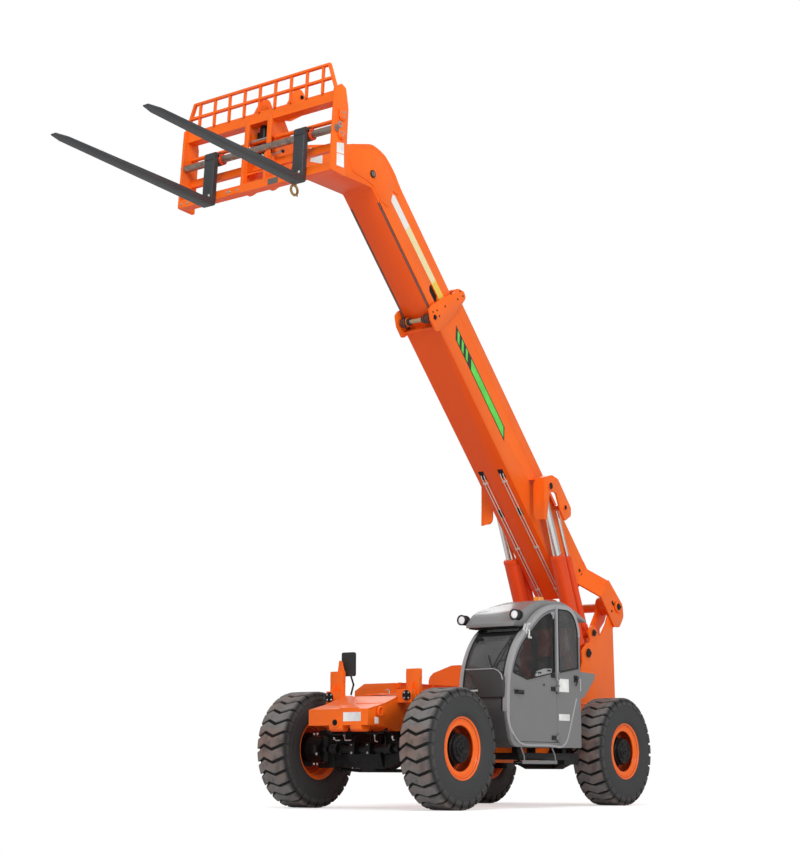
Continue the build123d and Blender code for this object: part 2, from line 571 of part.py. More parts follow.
def cylinder_parts(cyl, side):
    """Barrel and rod, drawn along X from the base pin and turned into place."""
    (bx, bz), _, length, angle = cylinder_line(cyl)
    place = Location((bx, side * cyl["y"], bz), (0, -angle, 0))
    w = cyl["eye_w"] / 2
    r, rr = cyl["barrel_r"], cyl["rod_r"]
    barrel_end = cyl["barrel_len"]
    start = cyl["eye_r"] + 30
    barrel = fuse(rod((start, 0, 0), (barrel_end, 0, 0), r),
                  disc(0, 0, -w, w, cyl["eye_r"]),
                  box(0, start + 20, -w, w, -cyl["eye_r"] * 0.75, cyl["eye_r"] * 0.75))
    barrel = barrel.cut(disc(0, 0, -w - 5, w + 5, cyl["pin_r"] + FIT))
    barrel = barrel.cut(rod((start + 40, 0, 0), (barrel_end + 5, 0, 0), rr + FIT))
    rod_tail = length - 1180 if cyl is LIFT else length - 900
    eye_r = cyl["eye_r"] * 0.62
    piston = fuse(rod((rod_tail, 0, 0), (length - 30, 0, 0), rr),
                  disc(length, 0, -w * 0.75, w * 0.75, eye_r))
    return barrel.moved(place), piston.moved(place)


# ================================================================ cab
def cab_nodes():
    """Shell, side frame, windows, door, door window, roof, seat, controls."""
    t, y0, y1 = CAB_WALL, CAB_IN_Y, CAB_OUT_Y
    inner = inset(CAB_OUTLINE, t)
    full = prism(CAB_OUTLINE, y0, y1 - t)
    room = prism(inner, y0 + t, y1)
    shell = full.cut(room)
    # windscreen, roof light, rear and right windows
    cuts = dict(
        windscreen=(box(2200, 2800, y0 + 60, y1 - t - 20, 1300, 2110)),
        rear=(box(1000, 1120, y0 + 70, y1 - t - 30, 1650, 2180)),
    )
    right = inset(inner, 40)
    right_face = [(p[0], max(p[1], 1350 if i in (0, 7) else p[1]), p[2]) for i, p in enumerate(right)]
    right_face = [(2600, 1400, 60)] + [p for p in right_face if p[1] > 1360] + [(1130, 1400, 60)]
    right_cut = prism(right_face, y0 - 20, y0 + t + 20)
    panes = []
    for cut in cuts.values():
        panes.append(_clip(full.cut(room), cut))
        shell = shell.cut(cut)
    panes.append(_clip(shell, right_cut))
    shell = shell.cut(right_cut)

    # cover in front of the windscreen's lower left corner
    cowl = slab([(643, 1602), (1050, 1600), (1120, 1570), (1168, 1500), (1180, 1400), (1175, 1275),
                 (822, 1275), (751, 1517)], 2640, 2725).cut(prism(CAB_OUTLINE, y0 - 5, y1 + 5))
    shell = shell.fuse(cowl)

    # near side: band and rear quarter
    band_in = inset(CAB_OUTLINE, SIDE_BAND)
    side_wall = prism(CAB_OUTLINE, y1 - t, y1)
    door_opening = _clip(prism(band_in, y1 - t - 10, y1 + 10), box(DOOR_HINGE[0], 2800, y1 - 60, y1 + 60,
                                                              DOOR_BOTTOM - DOOR_GAP, 2500))
    quarter_cut = _clip(prism(band_in, y1 - t - 10, y1 + 10),
                        prism([(1100, 1672), (1548, 1604), (1548, 2500), (1100, 2500)], y1 - 60, y1 + 60))
    quarter_pane = _clip(side_wall, quarter_cut)
    side_wall = side_wall.cut(door_opening).cut(quarter_cut)
    panes.append(quarter_pane)

    # door leaf with its window
    door_outline_in = inset(CAB_OUTLINE, SIDE_BAND + DOOR_GAP)
    leaf = _clip(prism(door_outline_in, y1 - t, y1), box(DOOR_HINGE[0] + DOOR_GAP, 2800, y1 - 60, y1 + 60,
                                                        DOOR_BOTTOM, 2500))
    light = _clip(prism(inset(CAB_OUTLINE, SIDE_BAND + 45), y1 - 60, y1 + 60),
                  prism([(DOOR_HINGE[0] + 50, 1600), (2253, 1495), (2700, 1600), (2700, 2500),
                         (DOOR_HINGE[0] + 50, 2500)], y1 - 60, y1 + 60))
    door_pane = _clip(leaf, light)
    leaf = leaf.cut(light)
    hx, hy = DOOR_HINGE
    hinges, fixed = [], []
    for z in DOOR_HINGE_Z:
        hinges.append(rod((hx, hy, z - 30), (hx, hy, z + 30), 13))
        hinges.append(box(hx + 6, hx + 45, y1, hy + 4, z - 28, z + 28))
        fixed.append(rod((hx, hy, z - 48), (hx, hy, z + 48), 6))
        for z0, z1 in ((z - 48, z - 32), (z + 32, z + 48)):
            fixed += [box(hx - 45, hx - 2, y1, hy + 4, z0, z1), rod((hx, hy, z0), (hx, hy, z1), 13)]
    handle = [box(2395, 2475, y1, y1 + 30, 1335, 1360)]
    leaf = fuse(leaf, *hinges, *handle)
    # wing behind the rear corner
    wing = prism([(1055, 1638, 10), (640, 1626, 10), (655, 1560, 20), (903, 1328, 30), (1055, 1290, 10)],
                 y1 - 60, y1 - 30)
    side_wall = fuse(side_wall, wing.cut(prism(CAB_OUTLINE, y0, y1 - t)), *fixed)
    for z in DOOR_HINGE_Z:
        leaf = leaf.cut(rod((hx, hy, z - 60), (hx, hy, z + 60), 6 + FIT))

    # roof cap with the visor
    cap_out = [(2465, 2110, 10), (2470, 2150, 20), (2330, 2280, 420), (1890, 2462, 700), (1400, 2478, 400),
               (1130, 2430, 200), (1150, 2200, 0)]
    tail = [(1200, 2360, 0), (1183, 2395, 30), (875, 2272, 8), (882, 2250, 8), (1100, 2300, 60), (1160, 2250, 0)]
    cap = prism(cap_out, y0 - 50, y1 - SIDE_BAND - 4).cut(box(1000, 1900, y0 - 60, y0 - 10, 2000, 2600))
    crown = slab([(y0 - 60, 2000), (y1, 2000), (y1, 2500), (y0 + 230, 2500), (y0 - 60, 2330)], 800, 2600)
    roof = _clip(fuse(cap, prism(tail, y0 + 20, y1)), crown).cut(prism(CAB_OUTLINE, y0 - 60, y1 + 60))

    seat = fuse(prism([(1180, 1180, 40), (1640, 1200, 60), (1650, 1330, 60), (1330, 1310, 60),
                       (1250, 1850, 60), (1150, 1850, 60), (1130, 1250, 60)], 660, 1090),
                box(1230, 1560, 720, 1030, CAB_Z + CAB_WALL + 0.3, 1200))
    console = [(2200, 745, 0), (2400, 745, 0), (2600, 1060, 60), (2600, 1300, 60), (2480, 1560, 60),
               (2380, 1540, 40), (2330, 1250, 40)]
    column = fuse(prism(console, 600, 1140),
                  rod((2350, 870, 1420), (2130, 870, 1600), 28),
                  ring(170, 16, Plane((2130, 870, 1600), z_dir=(-220, 0, 180))),
                  rod((2130, 870 - 165, 1600), (2130, 870 + 165, 1600), 12))
    return shell, side_wall, panes, leaf, door_pane, roof, seat, column


def _clip(solid, window):
    """The largest piece of the solid inside the window."""
    common = solid.intersect(window)
    return max(common.solids() if hasattr(common, "solids") else common, key=lambda s: s.volume)


# ================================================================ hood, engine, small things
def hood_nodes():
    """Fixed housing, engine block and the lid over them on the right side."""
    yi, yo = HOOD_IN_Y, HOOD_OUT_Y
    x0, x1 = HOOD_X
    wall, floor, rim_z, top = 8, OUTRIGGER_Z[1], HOOD_SPLIT_Z, HOOD_TOP_Z
    outer = slab([(yi, floor), (yo, floor), (yo, rim_z), (yi - wall, rim_z), (yi - wall, top - wall - 0.3),
                     (yi, top - wall - 0.3)], x0, x1)
    inner = slab([(yi - wall, floor + wall), (yo + wall, floor + wall), (yo + wall, top), (yi - wall, top)],
                    x0 + wall, x1 - wall)
    block = box(1250, 2250, -1060, -620, floor + wall, 1240)
    low, edge = rim_z + 0.3, yi - wall - 0.3
    shape = [(edge, low), (yo, low), (yo, 1400), (yo + 150, top), (yi - 0.3, top), (yi - 0.3, top - wall),
             (edge, top - wall)]
    lid_in = slab([(yi + 50, low - 10), (yo + wall, low - 10), (yo + wall, 1396), (yo + 153, top - wall),
                      (yi + 50, top - wall)], x0 + wall, x1 - wall)
    lid = slab(shape, x0, x1).cut(lid_in)
    # hinge along the inner top edge: pin on the housing, two knuckles on the lid
    hy, hz = HOOD_HINGE
    pins = [rod((x0 + 60, hy, hz), (x1 - 60, hy, hz), 6)]
    knuckles = []
    for x in (x0 + 60, (x0 + x1) / 2 - 20, x1 - 100):
        pins += [box(x, x + 40, yi, hy + 8, hz - 60, hz - 16), box(x, x + 40, hy - 8, hy + 8, hz - 20, hz + 6)]
    for x in (x0 + 260, x1 - 380):
        knuckles += [rod((x, hy, hz), (x + 120, hy, hz), 13), box(x, x + 120, yi - 20, hy, top - 1, hz + 13)]
    # taller air box behind the lid, over the rear wheel
    tall = slab([(yi - 30, 1270), (yo, 1270), (yo, 1590), (yo + 20, 1641), (yo + 77, 1690), (yo + 223, 1734),
                 (yo + 367, 1778), (yi - 130, 1781), (yi - 70, 1745), (yi - 30, 1660)], 560, x0 - 6)
    neck = box(880, x0 + 4, yo, yi - 30, 1150, 1285)
    housing = fuse(outer.cut(inner), tall, neck, *pins)
    lid = fuse(lid, *knuckles)
    for x in (x0 + 260, x1 - 380):
        lid = lid.cut(rod((x - 5, hy, hz), (x + 125, hy, hz), 6 + FIT))
    return housing, block, lid


def lamps_and_mirror(roof, shell, side_wall, frame):
    """Two work lamps on the roof's front corners, and the mirror behind the right-hand post."""
    lamps = []
    for y, z, arm in ((392, 2215, (400, 560)), (1152, 2248, (1090, 1150))):
        lamp = fuse(rod((2330, y, z), (2420, y, z), 56), rod((2418, y, z), (2432, y, z), 61),
                    rod((2310, y, z), (2334, y, z), 30), box(2318, 2352, *arm, z - 64, z - 40),
                    rod((2336, y, z - 60), (2336, y, z - 20), 16))
        lamp = lamp.cut(roof).cut(shell).cut(side_wall)
        lamps.append(max(lamp.solids(), key=lambda piece: piece.volume))
    back = NOSE_X - 713
    plate = slab([(-530, 1520), (-370, 1520), (-355, 1535), (-355, 1785), (-370, 1800), (-530, 1800),
                  (-545, 1785), (-545, 1535)], back - 60, back - 22)
    mirror = fuse(plate, rod((back - 40, -505, 1550), (back + 4, -505, 1550), 12)).cut(frame)
    return lamps, max(mirror.solids(), key=lambda piece: piece.volume)


# ================================================================ carriage
def carriage_nodes():
    """Frame with the load guard, shaft, forks and hook; u forward, w up from the hinge pin."""
    h = CARR_HALF_W
    frame = []
    end = [(360, -575, 20), (612, -575, 20), (600, 380, 20), (500, 468, 30), (420, 440, 30), (362, 220, 60)]
    for s in (1, -1):
        frame.append(prism(end, *sorted((s * (h - 30), s * h))))
    frame.append(box(430, 552, -h + 5, h - 5, 255, 382))              # top beam
    frame.append(box(500, 606, -h + 5, h - 5, -575, -480))            # bottom rail
    frame.append(box(400, 450, -h + 5, h - 5, -270, -180))            # rear rail
    upright = [(120, -115, 40), (360, -500, 60), (430, -560), (600, -560), (600, -160), (470, -150, 30),
               (470, 40, 30), (560, 60), (560, 300), (430, 370), (330, 300, 60), (200, 130, 80), (0, 118, 110),
               (-118, 0, 110), (0, -118, 60)]
    lug = [(430, 262), (300, 305, 40), (120, 440, 60), (50, 620, 90), (160, 760, 90), (270, 690, 90),
           (440, 370)]
    for s in (1, -1):
        frame.append(prism(upright, *sorted((s * 145, s * 190))))
        frame.append(prism(lug, *sorted((s * 235, s * 262))))
        frame.append(disc(160, 645, s * 225, s * 272, 34))
        # flange along the upright's front edge, and the brace between them at the foot
        frame.append(box(548, 566, *sorted((s * 135, s * 200)), -560, 300))
    frame.append(box(430, 590, -200, 200, -486, -466))
    frame.append(box(430, 560, -200, 200, -360, -344))
    frame.append(disc(*TUBE_UW, -h + 5, h - 5, 24))
    frame.append(disc(0, 0, -FLY_HALF_W - 32, FLY_HALF_W + 32, TILT_PIN_R))
    for s in (1, -1):
        frame.append(disc(0, 0, s * (FLY_HALF_W + 14), s * (FLY_HALF_W + 33), 62))
    # load guard
    frame.append(box(545, 585, -1021, 1021, 688, 714))
    frame.append(box(545, 585, -1075, 1075, 518, 544))
    for i in range(9):
        y = -925 + i * 231
        frame.append(box(550, 580, y - 13, y + 13, 375, 700))
    for s in (1, -1):
        slope = Wire.make_polygon([(545, s * (h - 30), 375), (545, s * h, 375), (545, s * 1021, 714),
                                   (545, s * 991, 714)], close=True)
        frame.append(Solid.extrude(Face(slope), Vector(40, 0, 0)))
    body = fuse(*frame)
    u, w = SHAFT_UW
    body = body.cut(disc(u, w, -h - 10, h + 10, SHAFT_R))
    shaft = disc(u, w, -h - 12, h + 12, SHAFT_R)

    forks = []
    top, bottom = FORK_TIP_W
    for y in FORK_Y:
        blade = prism([(614, -668, 40), (1200, -668), (FORK_TIP_U, -bottom), (FORK_TIP_U, -top),
                       (1200, -598), (684, -598, 25), (684, -20, 30), (614, -20, 10)], y - FORK_W / 2, y + FORK_W / 2)
        # tip narrowed from both sides
        for s in (1, -1):
            tip = Wire.make_polygon([(FORK_TIP_U - 150, y + s * FORK_W / 2, 0),
                                     (FORK_TIP_U + 10, y + s * FORK_W / 2, 0),
                                     (FORK_TIP_U + 10, y + s * (FORK_W / 2 - 40), 0)], close=True)
            blade = blade.cut(_between(tip, -700, -600))
        eye = disc(u, w, y - FORK_W / 2 + 10, y + FORK_W / 2 - 10, 68)
        blade = fuse(blade, eye)
        forks.append(blade.cut(disc(u, w, y - 100, y + 100, SHAFT_R)))
    hook = fuse(box(520, 560, HOOK_Y - 14, HOOK_Y + 14, -625, -575),
                ring(55, 15, Plane((540, HOOK_Y, -676), z_dir=(0, 1, 0))))
    place = CARRIAGE_PLACE
    return [s.moved(place) for s in (body, shaft)], [f.moved(place) for f in forks], hook.moved(place)


# ================================================================ build
def build():
    nodes = {}
    nodes["chassis_frame"] = chassis_frame()
    frame = nodes["chassis_frame"]
    nodes["counterweight"] = counterweight().cut(frame)
    nodes["outriggers"] = [beam.cut(frame) for beam in outriggers()]
    nodes["tower"] = tower().cut(frame, nodes["counterweight"])
    nodes["front_axle"] = axle(WHEELBASE)
    nodes["rear_axle"] = axle(0)
    one_tyre = tyre()
    for name, x, side in WHEELS:
        nodes["tyre_" + name] = one_tyre.moved(Location((x, side * TRACK_HALF, TYRE_R)))
        nodes["rim_" + name] = rim(x, side)
        nodes["knuckle_" + name] = knuckle(x, side)
    shell, side_wall, panes, leaf, door_pane, roof, seat, column = cab_nodes()
    nodes.update(cab_shell=shell, cab_side_frame=side_wall, cab_windows=panes, cab_door=leaf,
                 cab_door_window=door_pane, cab_roof=roof, cab_seat=seat, cab_controls=column)
    nodes["work_lamps"], nodes["mirror"] = lamps_and_mirror(roof, shell, side_wall, nodes["chassis_frame"])
    housing, block, lid = hood_nodes()
    nodes.update(engine_housing=housing, engine_block=block, engine_hood_lid=lid)
    nodes["boom_base"] = base_section()
    nodes["boom_fly"] = fly_section()
    (frame, shaft), forks, hook = carriage_nodes()
    nodes.update(carriage_frame=frame, fork_shaft=shaft, forks=forks, lifting_hook=hook)
    for label, cyl in (("lift", LIFT), ("level", LEVEL)):
        for side_name, side in (("left", 1), ("right", -1)):
            barrel, piston = cylinder_parts(cyl, side)
            nodes[f"{label}_barrel_{side_name}"] = barrel
            nodes[f"{label}_rod_{side_name}"] = piston
    return nodes


def flatten(shape):
    if isinstance(shape, (list, tuple)):
        out = []
        for s in shape:
            out += flatten(s)
        return out
    return list(shape.solids())


if __name__ == "__main__":
    os.makedirs("parts", exist_ok=True)
    shift = Location((-MID_X, 0, 0))
    for node, shape in build().items():
        solids = [s.moved(shift) for s in flatten(shape)]
        out = solids[0] if len(solids) == 1 else Compound(children=solids)
        export_step(out, f"parts/{node}.step")
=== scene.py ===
from math import atan2, cos, hypot, pi, radians, sin

import bmesh
import bpy
from mathutils import Matrix, Vector


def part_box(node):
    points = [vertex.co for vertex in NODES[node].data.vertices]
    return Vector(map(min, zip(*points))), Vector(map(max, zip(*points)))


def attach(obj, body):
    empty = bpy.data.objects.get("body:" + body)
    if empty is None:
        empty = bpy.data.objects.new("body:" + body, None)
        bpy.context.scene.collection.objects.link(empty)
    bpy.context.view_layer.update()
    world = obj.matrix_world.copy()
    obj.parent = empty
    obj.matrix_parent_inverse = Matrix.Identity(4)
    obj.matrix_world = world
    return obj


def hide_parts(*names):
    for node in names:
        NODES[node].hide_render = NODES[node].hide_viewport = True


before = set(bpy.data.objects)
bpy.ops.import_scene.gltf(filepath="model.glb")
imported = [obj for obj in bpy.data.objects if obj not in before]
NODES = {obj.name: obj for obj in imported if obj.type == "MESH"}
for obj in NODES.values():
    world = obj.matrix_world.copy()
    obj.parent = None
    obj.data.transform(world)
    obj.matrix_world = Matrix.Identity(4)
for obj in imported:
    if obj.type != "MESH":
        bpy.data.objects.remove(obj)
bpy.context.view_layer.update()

D = bpy.data
SCENE = bpy.context.scene
X, Y, Z, DOWN = (1, 0, 0), (0, 1, 0), (0, 0, 1), (0, 0, -1)
FILM = 0.0012                    # how far a sticker or blank plate stands proud
SUNK = 0.001                     # how far a fitting's foot reaches into what carries it
DISC_EDGE = 0.003                # most that a disc's rims are eased


# ---------------------------------------------------------------- places
def middle(node):
    low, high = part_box(node)
    return (Vector(low) + Vector(high)) / 2


REAR_AXLE_X = middle("tyre_rear_left").x     # the machine's own frame starts over the rear axle
WHEELS = {end + "_" + side: middle("tyre_" + end + "_" + side)
          for end in ("front", "rear") for side in ("left", "right")}
TYRE_R, GROOVE_R = 0.675, 0.64              # over the bars, in the grooves
BOOM_PIVOT = (-1.09, 2.63)
BOOM_ANGLE = radians(46.42)
TILT_PIN = (5.28, 7.32)
CARRIAGE_ANGLE = radians(3.5)
BASE_HALF_W, FLY_HALF_W = 0.251, 0.222
BASE_BOTTOM, FLY_BOTTOM = -0.544, -0.498
BASE_FRONT = 5.086
CARRIAGE_HALF_W = 1.138
FORK_Y = (0.72, -0.612)
SHAFT = (0.556, -0.078)          # fork shaft, forward of and above the tilt pin
NOSE_X = 4.313
CAB_OUT_Y = 1.205
# base pin and rod pin (machine x, z; along and across the boom), barrel's length, radii of barrel and rod
CYLINDERS = {"lift": ((-0.335, 1.964), (2.192, -0.182), 1.35, 0.1, 0.06),
             "level": ((-0.485, 2.24), (1.77, -0.09), 1.07, 0.054, 0.027)}
CYLINDER_Y = 0.365


def at(x, y, z):
    """Point of the machine's own frame, x forward of the rear axle, as a place in the scene."""
    return Vector((x + REAR_AXLE_X, y, z))


def turned_place(x, z, angle, y=0):
    """Frame at a pin: local x runs forward at the angle above level, local z across it."""
    return Matrix.Translation(at(x, y, z)) @ Matrix.Rotation(-angle, 4, "Y")


BOOM = turned_place(*BOOM_PIVOT, BOOM_ANGLE)
CARRIAGE = turned_place(*TILT_PIN, CARRIAGE_ANGLE)
MACHINE = Matrix.Translation((REAR_AXLE_X, 0, 0))
SCENE_FRAME = Matrix.Identity(4)
PLACE_OF = dict(boom_base=BOOM, boom_fly=BOOM, carriage=CARRIAGE)


# ---------------------------------------------------------------- forms: points and faces
class Form:
    """Loose mesh data that can be moved, mirrored and added up."""

    def __init__(self, points=(), faces=()):
        self.points, self.faces = [Vector(p) for p in points], [tuple(f) for f in faces]

    def __add__(self, other):
        n = len(self.points)
        return Form(self.points + other.points, self.faces + [tuple(i + n for i in f) for f in other.faces])

    def put(self, matrix):
        return Form([matrix @ p for p in self.points], self.faces)

    def mirrored(self):
        """Its image on the other side of the machine."""
        return Form([(p.x, -p.y, p.z) for p in self.points], [f[::-1] for f in self.faces])


def total(forms):
    whole = Form()
    for form in forms:
        whole = whole + form
    return whole


def block(x0, x1, y0, y1, z0, z1):
    return Form([(x, y, z) for x in (x0, x1) for y in (y0, y1) for z in (z0, z1)],
                [(0, 1, 3, 2), (4, 6, 7, 5), (0, 4, 5, 1), (2, 3, 7, 6), (0, 2, 6, 4), (1, 5, 7, 3)])


def plate(outline, y0, y1):
    """Flat plate: outline in x and z, from y0 to y1."""
    n = len(outline)
    return Form([(x, y, z) for y in (y0, y1) for x, z in outline],
                [tuple(range(n)), tuple(range(2 * n - 1, n - 1, -1))]
                + [(i, i + n, (i + 1) % n + n, (i + 1) % n) for i in range(n)])


def facing(axis):
    """Turns local z onto an axis."""
    return Vector(axis).to_track_quat("Z", "Y").to_matrix().to_4x4()


def lathe(profile, centre, axis=Y, sides=32, closed=False):
    """Turned form: profile of (radius, height along the axis)."""
    n = len(profile)
    spots = [(r * cos(2 * pi * k / sides), r * sin(2 * pi * k / sides), h) for k in range(sides)
             for r, h in profile]
    faces = []
    for k in range(sides):
        a, b = k * n, (k + 1) % sides * n
        for i in range(n if closed else n - 1):
            j = (i + 1) % n
            faces.append((a + i, b + i, b + j, a + j))
    return Form(spots, faces).put(Matrix.Translation(centre) @ facing(axis))


def disc(centre, axis, r, thick, sides=32):
    """Solid round plate whose rims are eased; it runs from the centre along the axis."""
    edge = min(DISC_EDGE, r / 3, thick / 3)
    return lathe([(0, 0), (r - edge, 0), (r, edge), (r, thick - edge), (r - edge, thick), (0, thick)],
                 centre, axis, sides)


def rod(centre, axis, r, length, sides=24):
    """Solid round bar with sharp ends."""
    return lathe([(0, 0), (r, 0), (r, length), (0, length)], centre, axis, sides)


def sleeve(centre, axis, inner, outer, low, high, sides=32):
    """Round ring of square section, from low to high along the axis."""
    return lathe([(inner, low), (outer, low), (outer, high), (inner, high)], centre, axis, sides, closed=True)


def tube(points, r, sides=12):
    """Bent round bar with capped ends."""
    points = [Vector(p) for p in points]
    steps = [(b - a).normalized() for a, b in zip(points, points[1:])]
    side = steps[0].orthogonal().normalized()
    spots, faces = [], []
    for i, p in enumerate(points):
        ahead, behind = steps[min(i, len(steps) - 1)], steps[max(i - 1, 0)]
        mid = (ahead + behind).normalized()
        side = (side - mid * side.dot(mid)).normalized()
        other = mid.cross(side)
        wide = r / max(0.5, mid.dot(ahead))          # wider in a mitre, so that the bar keeps its girth
        spots += [p + (side * cos(2 * pi * k / sides) + other * sin(2 * pi * k / sides)) * wide
                  for k in range(sides)]
    for i in range(len(points) - 1):
        for k in range(sides):
            a, b = i * sides + k, i * sides + (k + 1) % sides
            faces.append((a, b, b + sides, a + sides))
    last = (len(points) - 1) * sides
    faces += [tuple(range(sides - 1, -1, -1)), tuple(range(last, last + sides))]
    return Form(spots, faces)


def bolt(centre, axis, size=0.014, washer=True):
    """Hexagon head with its washer, across-corners radius given."""
    head = lathe([(0, 0), (size, 0), (size, size * 0.75), (size * 0.8, size * 0.9), (0, size * 0.9)],
                 centre, axis, 6)
    return head + disc(centre, axis, size * 1.45, size * 0.22, 16) if washer else head


def bolts(axis, size, *places):
    return total(bolt(place, axis, size) for place in places)


def bolts_round(centre, axis, r, count, size, start=0.0):
    turn = facing(axis)
    angles = [start + 2 * pi * k / count for k in range(count)]
    return bolts(axis, size, *(Vector(centre) + turn @ Vector((r * cos(a), r * sin(a), 0)) for a in angles))


def strap(path, widths, y0, y1, shift=0.0):
    """Flat bar that follows a path of (x, z); shift moves its middle to the path's left."""
    if not isinstance(widths, list):
        widths = [widths] * len(path)
    spots, faces = [], []
    for i, (x, z) in enumerate(path):
        (ax, az), (bx, bz) = path[max(i - 1, 0)], path[min(i + 1, len(path) - 1)]
        long = hypot(bx - ax, bz - az) or 1.0
        nx, nz = -(bz - az) / long, (bx - ax) / long
        reaches = [shift + side * widths[i] for side in (-0.5, 0.5)]
        spots += [(x + nx * reach, y, z + nz * reach) for y in (y0, y1) for reach in reaches]
    for a in range(0, 4 * (len(path) - 1), 4):
        faces += [(a, a + 1, a + 5, a + 4), (a + 2, a + 6, a + 7, a + 3), (a, a + 4, a + 6, a + 2),
                  (a + 1, a + 3, a + 7, a + 5)]
    last = 4 * (len(path) - 1)
    faces += [(0, 2, 3, 1), (last, last + 1, last + 3, last + 2)]
    return Form(spots, faces)


def smooth_path(path, steps=6):
    """Curve through the points of a path."""
    points = [Vector(p) for p in path]
    out = []
    for i in range(len(points) - 1):
        a, b = points[max(i - 1, 0)], points[i]
        c, d = points[i + 1], points[min(i + 2, len(points) - 1)]
        for t in (k / steps for k in range(steps)):
            out.append(tuple(0.5 * (2 * b + (c - a) * t + (2 * a - 5 * b + 4 * c - d) * t * t
                                    + (3 * b - 3 * c + d - a) * t ** 3)))
    return out + [tuple(points[-1])]


def add_object(name, data):
    obj = D.objects.new(name, data)
    SCENE.collection.objects.link(obj)
    return obj


def ease_edges(obj, width, angle):
    bevel = obj.modifiers.new("eased_edges", "BEVEL")
    bevel.width, bevel.segments, bevel.limit_method = width, 2, "ANGLE"
    bevel.angle_limit = radians(angle)
    bevel.harden_normals = True


class Piece(Form):
    """Form that becomes an object of its own, drawn in the frame of the body that it rides on."""

    waiting = []

    def __init__(self, name, finish, body="chassis", edge=0.0, place=None):
        super().__init__()
        self.name, self.finish, self.body, self.edge = name, finish, body, edge
        self.place = place or PLACE_OF.get(body, MACHINE)
        Piece.waiting.append(self)

    def add(self, *forms):
        for form in forms:
            whole = self + form
            self.points, self.faces = whole.points, whole.faces
        return self

    def both(self, *forms):
        """Adds each form on both sides of the machine."""
        for form in forms:
            self.add(form, form.mirrored())
        return self

    def build(self, sharp=35):
        mesh = D.meshes.new(self.name)
        mesh.from_pydata([tuple(self.place @ p) for p in self.points], [], self.faces)
        mesh.materials.append(self.finish)
        work = bmesh.new()
        work.from_mesh(mesh)
        bmesh.ops.remove_doubles(work, verts=work.verts, dist=1e-6)
        bmesh.ops.recalc_face_normals(work, faces=work.faces)
        work.to_mesh(mesh)
        work.free()
        mesh.shade_smooth()
        mesh.set_sharp_from_angle(angle=radians(sharp))
        obj = add_object(self.name, mesh)
        if self.edge:
            ease_edges(obj, self.edge, 30)
        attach(obj, self.body)
        return obj


def build_waiting():
    """Makes the pieces of the sections above, in the order of their names' first mention."""
    for piece in Piece.waiting:
        piece.build()
    Piece.waiting.clear()


# ---------------------------------------------------------------- shader maths
class Value:
    """A socket whose arithmetic adds Math nodes."""

    def __init__(self, finish, socket):
        self.finish, self.socket = finish, socket

    def _math(self, operation, *terms):
        return self.finish.node("ShaderNodeMath", dict(operation=operation), *terms)

    def __add__(self, o): return self._math("ADD", self, o)
    def __sub__(self, o): return self._math("SUBTRACT", self, o)
    def __mul__(self, o): return self._math("MULTIPLY", self, o)
    def __pow__(self, o): return self._math("POWER", self, o)
    def __rsub__(self, o): return self._math("SUBTRACT", o, self)
    def size(self): return self._math("ABSOLUTE", self)

    def __radd__(self, o): return self._math("ADD", o, self)

    def between(self, low, high):
        """0 at low, 1 at high, straight between them."""
        return self.finish.node("ShaderNodeMapRange", dict(clamp=True), self, low, high, 0.0, 1.0)


class Finish:
    """A material under construction."""

    def __init__(self, name):
        self.material = D.materials.new(name)
        self.material.use_nodes = True
        self.tree = self.material.node_tree
        self.tree.nodes.clear()
        self.end = self.tree.nodes.new("ShaderNodeOutputMaterial")

    def node(self, kind, settings=None, *inputs, pick=0, **named):
        """Adds a node: its settings first, then its sockets by place or by name, and gives one output."""
        n = self.tree.nodes.new(kind)
        for key, value in (settings or {}).items():
            setattr(n, key, value)
        pairs = list(enumerate(inputs)) + [(k.replace("_", " "), v) for k, v in named.items()]
        for key, value in pairs:
            socket = n.inputs[key]
            if isinstance(value, Value):
                self.tree.links.new(value.socket, socket)
            elif value is not None:
                if isinstance(value, tuple) and socket.type == "RGBA" and len(value) == 3:
                    value = (*value, 1.0)
                socket.default_value = value
        return Value(self, n.outputs[pick])

    def place(self, x=1.0, y=1.0, z=1.0):
        """Rest position on the machine, in metres, stretched by a factor each way."""
        where = self.node("ShaderNodeTexCoord", pick="Object")
        if (x, y, z) == (1.0, 1.0, 1.0):
            return where
        return self.node("ShaderNodeVectorMath", dict(operation="MULTIPLY"), where, (x, y, z))

    def axis(self, which):
        return self.node("ShaderNodeSeparateXYZ", None, self.place(), pick="XYZ".index(which))

    def radius(self):
        """Distance from a wheel's axle, which its own middle lies on."""
        return (self.axis("X") ** 2.0 + self.axis("Z") ** 2.0) ** 0.5

    def up(self):
        """How far the surface faces up, from -1 to 1."""
        normal = self.node("ShaderNodeNewGeometry", pick="Normal")
        return self.node("ShaderNodeSeparateXYZ", None, normal, pick=2)

    def noise(self, scale, detail=3.0, roughness=0.55, where=None):
        return self.node("ShaderNodeTexNoise", None, Vector=where or self.place(), Scale=scale, Detail=detail,
                         Roughness=roughness)

    def waves(self, direction, scale):
        return self.node("ShaderNodeTexWave", dict(bands_direction=direction), Vector=self.place(),
                         Scale=scale, pick=1)

    def blend(self, amount, a, b):
        """Colour a where amount is 0 and b where it is 1."""
        return self.node("ShaderNodeMix", dict(data_type="RGBA"), amount, None, None, None, None, None, a, b,
                         pick=2)

    def bump(self, height, strength, distance):
        return self.node("ShaderNodeBump", None, Strength=strength, Distance=distance, Height=height)

    def finish(self, **sockets):
        """Closes the material with one Principled shader."""
        shader = self.node("ShaderNodeBsdfPrincipled", None, **sockets)
        self.tree.links.new(shader.socket, self.end.inputs["Surface"])
        return self.material


def scaled(colour, factor, lift=0.0):
    return tuple(c * factor + lift for c in colour)


